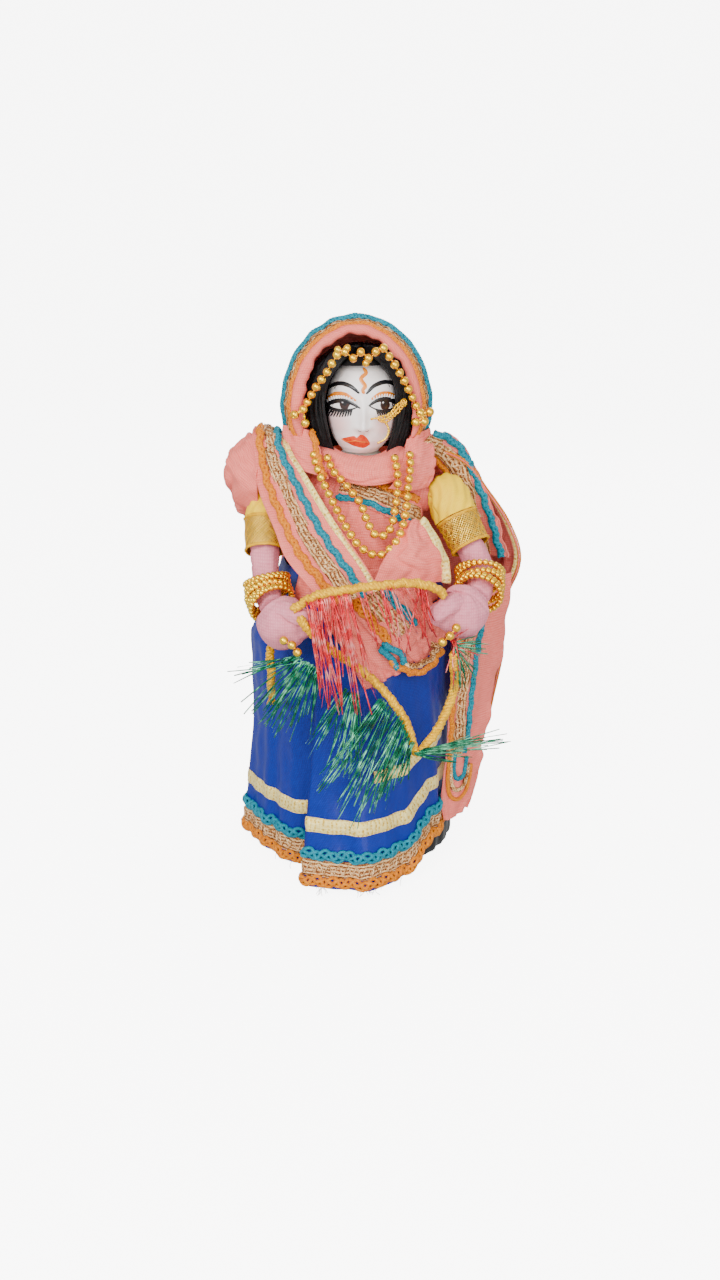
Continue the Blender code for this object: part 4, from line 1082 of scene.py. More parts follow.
# Raised and sunken places of the face: x, z, half-width, half-height, height.
SCULPT = [(1.4, 196.8, 2.2, 2.3, 2.5), (1.5, 200.5, 1.4, 5.0, 1.6), (1.6, 206.0, 1.5, 5.0, 0.5),
          (-1.2, 197.2, 1.3, 1.1, 0.7), (4.1, 197.2, 1.3, 1.1, 0.7), (-1.4, 191.8, 4.6, 1.7, 0.7),
          (0.8, 186.8, 3.6, 2.4, 0.9), (-6.6, 206.8, 4.6, 3.2, -0.55), (10.3, 206.8, 4.6, 3.2, -0.55),
          (-7.5, 213.6, 6.0, 1.8, 0.35), (9.5, 213.8, 6.0, 1.8, 0.35), (-8.6, 198.5, 4.5, 4.5, 0.5),
          (10.6, 198.5, 4.5, 4.5, 0.5)]
BROWS = [[(-13.9, 213.0), (-11.6, 214.9), (-7.8, 215.8), (-3.6, 214.4), (-0.3, 211.6)],
         [(16, 214.2), (13.6, 215.8), (10, 216.3), (5.8, 214.7), (2.6, 211.4)]]
UPPER_LIDS = [[(-14.0, 206.6), (-11.4, 208.2), (-8.0, 208.7), (-4.4, 208.0), (0.2, 205.4)],
              [(16.4, 206.9), (13.8, 208.6), (10.6, 209.3), (7.0, 208.6), (3.6, 206.4)]]
LOWER_LIDS = [[(-13.4, 206.3), (-10.4, 205.1), (-6.6, 204.7), (-3.0, 205.2), (-0.4, 206.2)],
              [(15.9, 206.8), (13.2, 205.0), (10.0, 204.5), (6.6, 205.1), (3.9, 206.4)]]
LID_LINES = [[(-13.6, 209.6), (-10.2, 211.4), (-6.2, 211.2), (-1.6, 208.6)],
             [(15.4, 210), (11.9, 211.5), (8.2, 211.3), (4.4, 208.9)]]
IRISES = [(-6.4, 207.1), (10.4, 207.0)]
TILAK = [(1.2, 222.1), (2.5, 220), (0.4, 217.6), (2.1, 214.7), (1.2, 213.1), (1.7, 211.4)]
LIPS = [(-7.8, 192.6), (-5, 193.5), (-2.5, 193.9), (-1.3, 193.3), (0.4, 194.5), (2.5, 193.5), (4.2, 190.9),
        (3.4, 189.7), (1.3, 188.8), (-2.1, 189.5), (-5.1, 190.9)]
HEAD_BEADS = [(-22, -16, 207.5), (-19.5, -18, 212), (-17, -19.5, 216), (-14, -21, 220), (-11, -22, 225),
              (-7.5, -22.5, 229.5), (-2.5, -23, 226.5), (0.5, -23, 229), (4, -23, 226.5), (8.5, -22.5, 231),
              (12, -22, 227), (15, -21, 222.5), (18, -19.5, 217.5), (20.5, -18, 212.5), (23.5, -16, 206)]
LEFT_EAR = [(-27.4, -16.6, 202.4), (-23.7, -17.2, 204.8), (-23.0, -17.2, 199.0)]
RIGHT_EAR = [(25.3, -17, 203.2), (29.3, -15.8, 203.4), (23.4, -17.4, 199.4), (27.0, -17, 199.6)]
NOSE_RING = [(7.2, -20.9, 191.2), (10.6, -20.7, 193), (12, -20.5, 196.5), (10.6, -21, 199.8),
             (7.4, -22.1, 201.8),
             (4.4, -22.8, 201.6)]
NOSE_CHAIN = [(8.4, -21.9, 201.4), (11, -21.3, 201.6), (13.6, -20.6, 203.4), (16.2, -19.4, 206),
              (18.6, -18, 208)]


def smooth_table(rows, at):
    """Like along, but on a smooth curve through the rows."""
    places = [row[0] for row in rows]
    values = np.array([np.atleast_1d(row[1]) for row in rows], float)
    i = min(max(int(np.searchsorted(places, at) - 1), 0), len(places) - 2)
    share = (at - places[i]) / (places[i + 1] - places[i])
    return spline(values, (i + min(max(share, 0.0), 1.0)) / (len(places) - 1))


def build_face():
    """The stuffed and painted head, sculpted from its rings, and a finder for points on its front."""
    rows = []
    levels = np.concatenate([np.linspace(185.2, 223.5, 110), np.linspace(223.8, 225.4, 10)])
    table = [(row[0], (row[1], row[2])) for row in HEAD_RINGS]
    for z in levels:
        radius, shift = smooth_table(table, z)
        row = []
        for turn in np.linspace(-math.pi, math.pi, 169)[:-1]:
            x = shift + radius * math.sin(turn)
            y = -4.0 - radius * math.cos(turn)
            if math.cos(turn) > 0:
                raised = sum(h * math.exp(-((x - cx) / w) ** 2 - ((z - cz) / t) ** 2) for cx, cz, w, t,
                             h in SCULPT)
                y -= raised * min(1.0, math.cos(turn) * 2)
            row.append((x, y, z))
        rows.append(row)
    points = np.array(rows)
    wide = points.shape[1]
    faces = grid_faces(wide, len(rows), wrap=True)
    faces += [tuple(range(wide))[::-1], tuple(range((len(rows) - 1) * wide, len(rows) * wide))]
    made = piece("painted_head", points.reshape(-1, 3), faces, "face", "head", "face", ["head"])
    tree = BVHTree.FromPolygons([Vector(p) for p in points.reshape(-1, 3)], faces)

    def on_face(x, z, lift=0.12):
        through = Vector((x, -19.0, z)) - EYE
        spot, normal, _, _ = tree.ray_cast(EYE, through.normalized())
        if spot is None:
            spot, normal, _, _ = tree.find_nearest(Vector((x, -15.0, z)))
        if normal.dot(through) > 0:
            normal = -normal
        return np.array(spot + normal * lift)

    return made, on_face


def stroke(parts, on_face, route, widths, lift=0.14, steps=36):
    """A brush line on the face: a thin ribbon with a width at each step."""
    flat = np.array([spline([(x, z, 0) for x, z in route], u)[:2] for u in np.linspace(0, 1, steps)])
    ahead = unit(np.gradient(flat, axis=0))
    side = np.stack([-ahead[:, 1], ahead[:, 0]], 1)
    widths = np.array([float(along(widths, u)) for u in np.linspace(0, 1, steps)]) / 2
    shares = np.array([-1.0, -0.5, 0.0, 0.5, 1.0])
    lifts = np.array([0.35, 1.0, 1.2, 1.0, 0.35])
    points = [on_face(*(p + s * w * k), lift * up) for p, s, w in zip(flat, side, widths) for k,
              up in zip(shares, lifts)]
    parts.add(points, grid_faces(5, steps))


def blob(parts, on_face, outline, lift=0.1, rings=6, smooth=True):
    """A painted patch inside a closed outline."""
    outline = np.array(outline, float)
    if smooth:
        closed = np.concatenate([outline[-2:], outline, outline[:2]])
        spans = len(closed) - 1
        outline = np.array([spline([(x, z, 0) for x, z in closed], (1 + u * len(outline)) / spans)[:2]
                            for u in np.linspace(0, 1, 49)[:-1]])
    middle = outline.mean(0)
    points, count = [], len(outline)
    for k in range(rings):
        share = 1 - k / rings
        points += [on_face(*(middle + (p - middle) * share), lift * (0.1 if k == 0 else 1.0))
                   for p in outline]
    points.append(on_face(*middle, lift))
    faces = grid_faces(count, rings, wrap=True)
    faces += [((rings - 1) * count + i, (rings - 1) * count + (i + 1) % count, rings * count)
              for i in range(count)]
    parts.add(points, faces)


def build_paint(on_face):
    black, white, brown, orange, red, lid_dashes_and_glints = [Parts() for _ in range(6)]
    for side, (brow, upper, lower, line, iris) in enumerate(zip(BROWS, UPPER_LIDS, LOWER_LIDS, LID_LINES,
                                                                IRISES)):
        out = -1 if side == 0 else 1
        stroke(black, on_face, brow, [(0, 0.5), (0.3, 1.6), (0.6, 1.9), (0.85, 1.4), (1, 0.7)], 0.2)
        blob(white, on_face, upper + lower[::-1][1:-1], 0.07, smooth=False)
        ring = [(iris[0] + 2.2 * math.cos(a), iris[1] - 0.1 + 2.2 * math.sin(a))
                for a in np.linspace(0, 6.02, 24)]
        blob(brown, on_face, ring, 0.12, smooth=False)
        pupil = [(iris[0] + 1.05 * math.cos(a), iris[1] + 0.3 + 1.05 * math.sin(a))
                 for a in np.linspace(0, 5.9, 16)]
        blob(black, on_face, pupil, 0.16, smooth=False)
        # Painted highlight: a small white glint dot on each iris.
        glint = [(iris[0] - 0.8 + 0.42 * math.cos(a), iris[1] + 0.9 + 0.42 * math.sin(a)) for a in
                 np.linspace(0, 5.6, 10)]
        blob(lid_dashes_and_glints, on_face, glint, 0.24, rings=3, smooth=False)
        stroke(black, on_face, upper, [(0, 1.2), (0.25, 2.0), (0.55, 2.1), (0.85, 1.3), (1, 0.5)], 0.24)
        stroke(black, on_face, lower, [(0, 1.3), (0.3, 1.2), (0.6, 0.8), (1, 0.4)], 0.2)
        wing = [upper[0], (upper[0][0] + out * 0.9, upper[0][1] + 0.2),
                (upper[0][0] + out * 1.7, upper[0][1] + 0.8)]
        stroke(black, on_face, wing, [(0, 1.1), (1, 0.1)], 0.2, 8)
        stroke(orange, on_face, line, [(0, 1.0), (0.3, 1.9), (0.7, 1.7), (1, 0.6)], 0.16)
        for u in np.linspace(0.1, 0.9, 12):
            x, z = spline([(a, b, 0) for a, b in upper], u)[:2]
            lean = out * (0.9 - 1.2 * u) * 0.7
            stroke(lid_dashes_and_glints, on_face, [(x, z + 0.9), (x + lean * 0.5, z + 1.5), (x + lean, z + 2.2)],
                   [(0, 0.62), (1, 0.5)], 0.34, 6)
        for u in np.linspace(0.04, 0.72, 11):
            x, z = spline([(a, b, 0) for a, b in lower], u)[:2]
            lean = out * (1.7 - 1.6 * u)
            stroke(black, on_face, [(x, z), (x + lean * 0.6, z - 1.3), (x + lean * 1.2, z - 2.8)],
                   [(0, 1.0), (0.6, 0.75), (1, 0.4)], 0.34, 7)
    stroke(orange, on_face, TILAK, [(0, 0.5), (0.1, 1.5), (0.6, 1.7), (0.9, 1.4), (1, 0.6)], 0.2, 60)
    blob(red, on_face, LIPS, 0.16)
    stroke(orange, on_face, [(-7.9, 192.7), (-5, 191.6), (-2, 191.9), (0.5, 191.5), (3.6, 191.4)],
           [(0, 0.2), (0.5, 0.4), (1, 0.2)], 0.24, 20)
    stroke(brown, on_face, [(-0.9, 196.3), (-0.1, 195.7), (0.6, 195.9)], [(0, 0.1), (0.5, 0.3), (1, 0.1)],
           0.1, 8)
    stroke(brown, on_face, [(2.2, 195.9), (2.9, 195.7), (3.6, 196.3)], [(0, 0.1), (0.5, 0.3), (1, 0.1)],
           0.1, 8)
    for name, parts, look in (("eye_lines", black, "black_paint"), ("eye_whites", white, "white_paint"),
                              ("eye_irises", brown, "brown_paint"),
                              ("tilak_and_lids", orange, "orange_paint"),
                              ("lips", red, "red_paint"), ("eye_glints_and_lid_dashes", lid_dashes_and_glints, "white_paint")):
        parts.piece(name, look, "head", "face")


def hair_point(angle, z, share=1.0):
    half, deep = smooth_table(HAIR_RINGS, z)
    turn = math.radians(angle)
    return np.array([half * share * math.sin(turn), -1.0 - deep * share * math.cos(turn), z])


def build_hair():
    random = np.random.default_rng(31)
    strands = Parts()
    cap = []
    for z in np.concatenate([np.linspace(184, 222, 20), np.linspace(223, 229.4, 8)]):
        cap.append([hair_point(a, z, 0.93) for a in np.linspace(50, 310, 80)])
    cap = np.array(cap)
    strands.add(cap.reshape(-1, 3), grid_faces(80, len(cap)), np.zeros((cap.size // 3, 2)))
    top = [[hair_point(a, z, 0.93) for a in np.linspace(-52, 52, 24)] for z in np.linspace(222.5, 229.4, 8)]
    strands.add(np.array(top).reshape(-1, 3), grid_faces(24, 8), np.zeros((192, 2)))
    for layer, (share, first) in enumerate(((0.99, 54), (0.93, 47))):
        for k in range(84):
            angle = first + (360 - 2 * first) * k / 83 + random.normal(0, 0.7)
            end = 183.6 + random.uniform(0, 2.2) + layer
            wobble = random.uniform(0, 6.28, 2)
            line = []
            for z in np.linspace(229.2, end, 18):
                pinch = 1.0 if z > 196 else 1 - 0.05 * (196 - z) / 12
                spot = hair_point(angle + 0.9 * math.sin(z * 0.14 + wobble[0]), z, share * pinch)
                line.append(spot + [0, 0.25 * math.sin(z * 0.2 + wobble[1]), 0])
            tube(strands, np.array(line), np.linspace(0.95, 0.75, 18) * random.uniform(0.85, 1.1), 6)
    for side in (-1, 1):
        for k in range(20):
            out = k * 0.28 + random.normal(0, 0.12)
            back = k * 0.16
            lean = 0.8 if side > 0 else 0.0
            route = [(0.8 + side * 0.6, -3 - k * 0.2, 229.6),
                     (side * (4.5 + 0.3 * k), -12.5 + back, 227.0 + 0.05 * k),
                     (side * (10.2 + out) + lean, -15.2 + back, 221.5),
                     (side * (14.4 + out) + lean, -13.8 + back, 213.5),
                     (side * (15.5 + out) + lean, -12.6 + back, 204.5),
                     (side * (14.6 + out) + lean, -12.2 + back, 195),
                     (side * (12.0 + out) + lean, -11.6 + back, 186.5),
                     (side * (11.4 + out), -11 + back, 184.2)]
            tube(strands, even_line(route, 2.0), 0.72 * random.uniform(0.85, 1.15), 6)
    strands.piece("hair_strands", "hair", "head", "hair", ["hair"])


def hood_fold(x, y, z):
    """How far the hood's cloth stands out of its smooth shape."""
    turn = math.atan2(x - HOOD_X, z - HOOD_MIDDLE)
    deep = min(max((y + 6) / 14, 0.0), 1.0) * min(math.hypot(x - HOOD_X, z - HOOD_MIDDLE) / 18, 1.0)
    return deep * (0.55 * math.sin(7 * turn + 0.12 * y)
                   + 0.3 * math.sin(13 * turn + 0.25 * z)) + 0.15 * math.sin(
        0.5 * y + 5 * turn)


def hood_point(y, turn, lift=0.0):
    """A point on the hood's outside at depth y, a turn in degrees from straight up over the crown."""
    turn = math.radians(turn)
    low, high = 0.0, 60.0
    for _ in range(24):
        reach = (low + high) / 2
        z = HOOD_MIDDLE + reach * math.cos(turn)
        half, deep = smooth_table(HOOD_RINGS, z)
        inside = z < HOOD_HIGH and (reach * math.sin(turn) / half) ** 2 + ((y - HOOD_Y) / deep) ** 2 < 1
        low, high = (reach, high) if inside else (low, reach)
    reach = low + lift
    return np.array([HOOD_X + reach * math.sin(turn), y, HOOD_MIDDLE + reach * math.cos(turn)])


def build_hood():
    levels = np.concatenate([np.linspace(HOOD_LOW, 233, 56), np.linspace(234, 240.3, 14)])
    points, uvs = [], []
    for z in levels:
        half, deep = smooth_table(HOOD_RINGS, z)
        for turn in np.linspace(0, 2 * math.pi, 181):
            x, y = HOOD_X + half * math.sin(turn), HOOD_Y - deep * math.cos(turn)
            fold = hood_fold(x, y, z) - 0.5
            points.append((x + fold * math.sin(turn), y - fold * math.cos(turn), z))
            uvs.append((turn * 2.8, (z - HOOD_LOW) / 10))
    made = piece("hood_cloth", points, grid_faces(181, len(levels)), "pink", "head", "pink_cloth",
                 ["hood"], uvs)
    sculpt = bmesh.new()
    sculpt.from_mesh(made.data)
    bmesh.ops.remove_doubles(sculpt, verts=sculpt.verts, dist=1e-6)
    bmesh.ops.bisect_plane(sculpt, geom=sculpt.verts[:] + sculpt.edges[:] + sculpt.faces[:],
                           plane_co=(0, (HOOD_RIM + 0.6) * MM, 0), plane_no=(0, -1, 0), clear_outer=True)
    top = [v for v in sculpt.verts if v.co.z > 240.2 * MM]
    bmesh.ops.contextual_create(sculpt, geom=top)
    area = sum(face.calc_area() for face in sculpt.faces)
    sculpt.to_mesh(made.data)
    sculpt.free()
    made.modifiers.new("thickness", "SOLIDIFY").thickness = 0.7 * MM

    arch = np.linspace(-123, 123, 170)
    bands = np.array([[hood_point(y, turn, 0.15 * math.sin(turn * 0.31))
                       for y in np.linspace(-12.6, -1.8, 28)]
                      for turn in arch])
    border("hood_band", bands, [("orange", 0.02, 0.24, 0.2),
                                ("zari", 0.22, 0.60, 0.7),
                                ("teal", 0.60, 0.90, 0.9)], "head",
           {"orange": ["hood_orange_braid"], "zari": ["hood_zari_strip"], "teal": ["hood_teal_braid"]})

    profile = [(-11.6, 0.1), (-13.0, 0.35), (-14.0, 0.0), (-14.5, -0.8), (-14.6, -1.6), (-14.2, -2.4),
               (-13.2, -3.0),
               (-11.5, -3.3)]
    profile = np.array([spline([(y, lift, 0) for y, lift in profile], u)[:2]
                        for u in np.linspace(0, 1, 16)])
    rim = []
    for turn in np.linspace(-124, 124, 220):
        step = 1 / (1 + math.exp((turn + 53) / 2.2))
        wave = 0.35 * math.sin(turn * 0.21) + 0.25 * math.sin(turn * 0.47 + 1)
        row = []
        for y, lift in profile:
            inner = min(1.0, max(0.0, -lift / 3))
            ends = min(1.0, (124.5 - abs(turn)) / 14) ** 0.7
            row.append(hood_point(max(y, -12.9), turn, ends * (lift - inner * (1.3 * step + wave)))
                       + [0, ends * min(0, y + 12.9), 0])
        rim.append(row)
    saree("hood_rim", np.array(rim)[:, ::-1], body="head", held=None)


def build_head_beads():
    strings = Parts()
    bead_string(strings, HEAD_BEADS, 1.85, 1.12, 41)
    for x, y, z in ((-5.2, -22.6, 230.5), (2.4, -23.6, 224.6), (-9.0, -22.4, 229.8)):
        bead(strings, np.array([x, y, z]), (1, 0.2, 0.5), 1.6)
    strings.piece("forehead_bead_string", "bead", "head", "gold_bead", ["forehead_beads"])
    for name, spots, node in (("left_ear_cluster", LEFT_EAR, "left_ear_beads"),
                              ("right_ear_cluster", RIGHT_EAR, "right_ear_beads")):
        ear = Parts()
        for k, spot in enumerate(spots):
            bead(ear, np.array(spot), (0.3 + k, 1.0, 0.4), 1.95)
            if k:
                tube(ear, even_line([spots[k - 1], spot], 0.8), 0.3, 5)
                bead(ear, (np.array(spots[k - 1]) + spot) / 2 + [0, -0.9, 0], (1, 1, 0), 0.75, 8, 5)
        ear.piece(name, "bead", "head", "gold_bead", [node])


def build_nose_ring():
    """Gold wire and granule work from the nostril to the hair, with the ring that hangs by the mouth."""
    parts = Parts()
    ring = even_line(NOSE_RING, 0.5)
    tube(parts, ring, 0.42, 8)
    for spot in ring[3::3]:
        bead(parts, spot, (1, 0.2, 0.4), 0.56, 7, 4)
    line = even_line(NOSE_CHAIN, 0.5)
    tube(parts, line, 0.4, 8)
    ahead = frames(line)[0]
    for k in range(0, len(line), 2):
        spread = 1.0 + 0.45 * math.sin(k * 0.45)
        for offset in (-1.0, 0.0, 1.0):
            bead(parts, line[k] + np.array([-0.5, -0.2, 0.9]) * offset * spread, ahead[k], 0.55, 7, 4)
    for k in range(1, len(line), 4):
        turns = np.linspace(0, 2 * math.pi, 13)
        loop = np.array([line[k] + 1.5 * math.cos(t) * ahead[k]
                         + 1.5 * math.sin(t) * np.array([-0.4, -0.25, 0.9])
                         for t in turns])
        tube(parts, loop, 0.24, 5)
    parts.piece("nose_ring_filigree", "bead", "nose_ring", "gold_braid", ["nose_ring"])


# ---------------------------------------------------------------- necklaces, arms and garland

NECKLACE_OUTER = [(-19.5, -19.5, 186), (-18, -24.5, 182), (-14.5, -30, 175), (-10, -35.5, 167),
                  (-5, -40.3, 159),
                  (0, -42.8, 152.5), (7, -43.8, 149), (13, -42.9, 152), (17, -40.4, 158),
                  (19.2, -35.5, 167),
                  (20, -30.5, 175), (21, -25, 181.5), (21, -20, 186)]
NECKLACE_INNER = [(-13.5, -24, 185.5), (-11, -28.6, 181), (-6, -31.6, 176), (0, -35, 169), (3, -38.3, 162),
                  (6, -40, 157), (10, -40, 156.5), (13, -38.3, 160), (14.8, -35.2, 168), (15.6, -31.8, 175),
                  (15.5, -29, 180.5), (14.5, -24.5, 185.5)]
ARM_WIDTH = [(0, 5.6), (0.3, 6.6), (0.6, 6.0), (1, 5.2)]
HAND_WIDTH = [(0, 4.6), (0.125, 8.6), (0.25, 10.4), (0.5, 11), (0.625, 9.6), (0.75, 7), (1, 2.4)]
ARMS = {
    "left": {"route": [(-34.6, -7, 166), (-38.5, -9, 164.5), (-41, -13.5, 157.5), (-41, -20, 148),
                       (-40.5, -28, 138),
                       (-38.5, -37, 129), (-36.5, -42.5, 126)],
             "hand": [(-36, -44, 125.2), (-33.5, -47, 123.5), (-31.5, -51, 121.5), (-24.5, -53.5, 122.5),
                      (-16, -53.5, 125)],
             "thumb": [(-34, -52, 128), (-29, -57, 128.5), (-24.5, -60, 127.5), (-20.5, -61, 128.5)],
             "ring": [(-31, -64.5, 119), (-27.5, -65, 117), (-25.5, -65, 114)], "sleeve": 2.0},
    "right": {"route": [(34.6, -7, 166), (37.5, -12, 167), (41, -16.5, 159.5), (46, -21, 150),
                        (50.5, -27, 141),
                        (51, -35.5, 133), (49, -41, 130)],
              "hand": [(48, -43, 129.5), (45, -46.5, 128), (41.5, -51, 126), (35.5, -54, 126.5),
                       (28, -55, 127.5)],
              "thumb": [(41, -54, 131), (36.5, -58.5, 132), (33, -60.5, 130), (30.5, -61, 126.5)],
              "ring": [(39, -64.5, 124.5), (36.5, -65.5, 121.5), (33.5, -65, 118.5)], "sleeve": 2.8}}
GARLAND_UPPER = [(-27, -61, 131), (-21, -63, 136), (-14, -64, 139), (-4, -65, 141), (9, -66, 143),
                 (21, -65, 143.5),
                 (30, -63, 141), (34, -61, 137)]
GARLAND_LOWER = [(-24.5, -64.5, 128.5), (-19, -63, 121), (-11, -61, 113), (-2, -59.5, 106),
                 (6, -60.5, 99.5),
                 (12.5, -63.5, 93), (18, -64, 85), (21, -64, 77), (24, -64, 68.5), (29, -64, 74),
                 (34, -62.5, 82),
                 (38, -60, 91), (39.5, -59, 100), (38.5, -61, 107), (38.5, -61.5, 112.5)]
GOLD_TAIL = [(-38, -46, 109), (-38.3, -46, 104), (-37.6, -46, 98), (-38.2, -46, 92), (-37.8, -46, 87)]
# Foil needles: node, look, how many, thickness of the tuft, where they are rooted, where they end.
TINSEL = [
    ("red_tinsel", "red_foil", 50, 1.2, [(-22, -64, 136), (-13, -65, 138.5), (-4, -66, 140)],
     [(-17, -69, 98), (-6, -70, 93), (6, -69.5, 97)]),
    ("red_tinsel", "red_foil", 30, 1.2, [(0, -66.5, 141), (12, -67, 143), (26, -65, 142)],
     [(8, -70, 112), (20, -69, 118), (31, -66, 122)]),
    ("red_tinsel", "red_foil", 16, 1.2, [(37, -62, 119), (39, -62, 117)],
     [(46, -58, 124), (50, -58, 108), (36, -65, 99)]),
    ("green_tinsel_left", "green_foil", 50, 1.5, [(-27, -64, 112), (-22, -66, 110), (-17, -66, 107)],
     [(-52, -60, 104), (-45, -62, 88), (-34, -64, 79), (-21, -66, 82)]),
    ("green_tinsel_front", "green_foil", 30, 1.5, [(-7, -66, 99), (0, -66, 95)],
     [(-22, -69, 76), (-14, -71, 65), (-3, -71, 62)]),
    ("green_tinsel_front", "green_foil", 64, 1.8, [(8, -66, 94), (16, -67, 86), (22, -67, 74)],
     [(-15, -73, 60), (-8, -74.5, 44), (6, -73, 47), (17, -69, 58)]),
    ("green_tinsel_right", "green_foil", 26, 1.2, [(23, -67, 69), (27, -67, 71)],
     [(40, -62, 62), (61, -54, 70), (46, -60, 74)]),
    ("green_tinsel_right", "green_foil", 30, 1.2, [(38, -62, 117), (40, -62, 112)],
     [(51, -56, 118), (48, -58, 104), (39, -62, 94)]),
]


def build_necklaces():
    for name, route, seed in (("necklace_outer", NECKLACE_OUTER, 51),
                              ("necklace_inner", NECKLACE_INNER, 52)):
        parts = Parts()
        bead_string(parts, route, 1.9, 1.04, seed)
        parts.piece(name + "_beads", "bead", "root", "gold_bead", [name])


def stuffed(name, line, radii, look, body, slot, replaces, seed, creases=()):
    """A cotton tube packed with wadding: lumps, and creases round it where it was squeezed."""
    sides, count = 56, len(line)
    random = np.random.default_rng(seed)
    phase = random.uniform(0, 6.28, 8)
    _, up, across = frames(line)
    points, uvs = [], []
    run = run_along(line)
    for k in range(count):
        share = run[k] / run[-1]
        for i in range(sides):
            t = 2 * math.pi * i / sides
            lump = 0.26 * math.sin(3 * t + phase[0] + 4 * share) + 0.20 * math.sin(5 * t + phase[1]
                                                                                   - 7 * share)
            fine_lump = 0.12 * math.sin(9 * t + phase[2] + 15 * share) + 0.10 * math.sin(26 * share
                                                                                         + 2 * t + phase[3])
            crease = 0.0
            for at, depth, tilt in creases:
                near = (share - at - tilt * math.cos(t + phase[4])) * run[-1]
                crease -= depth * math.exp(-(near / 0.7) ** 2) * (0.6
                                                                  + 0.4 * math.cos(t + phase[5] + at * 9))
            ends = min(1.0, radii[k] / 5.0)
            radius = radii[k] + (lump + fine_lump + crease) * ends
            points.append(line[k] + radius * (math.cos(t) * across[k] + math.sin(t) * up[k]))
            uvs.append((t * radii[k] / 10, run[k] / 10))
    points += [line[0], line[-1]]
    uvs += [(0, 0), (0, run[-1] / 10)]
    faces = grid_faces(sides, count, wrap=True)
    first, last = count * sides, count * sides + 1
    faces += [(first, (i + 1) % sides, i) for i in range(sides)]
    faces += [(last, (count - 1) * sides + i, (count - 1) * sides + (i + 1) % sides) for i in range(sides)]
    made = piece(name, points, faces, look, body, slot, replaces, uvs)
    return made


def rounded(table, shares, length, cap):
    """Radii along a tube that close over in a round cap at each end."""
    radii = np.array([float(along(table, s)) for s in shares])
    for k, share in enumerate(shares):
        near = min(share, 1 - share) * length
        if near < cap:
            radii[k] *= math.sqrt(max(0.02, 1 - (1 - near / cap) ** 2))
    return radii


def span(line, first, last, count):
    """Part of a line between two shares of it, with its own count of points."""
    places = np.linspace(first, last, count) * (len(line) - 1)
    return np.stack([np.interp(places, range(len(line)), line[:, k]) for k in range(3)], 1)


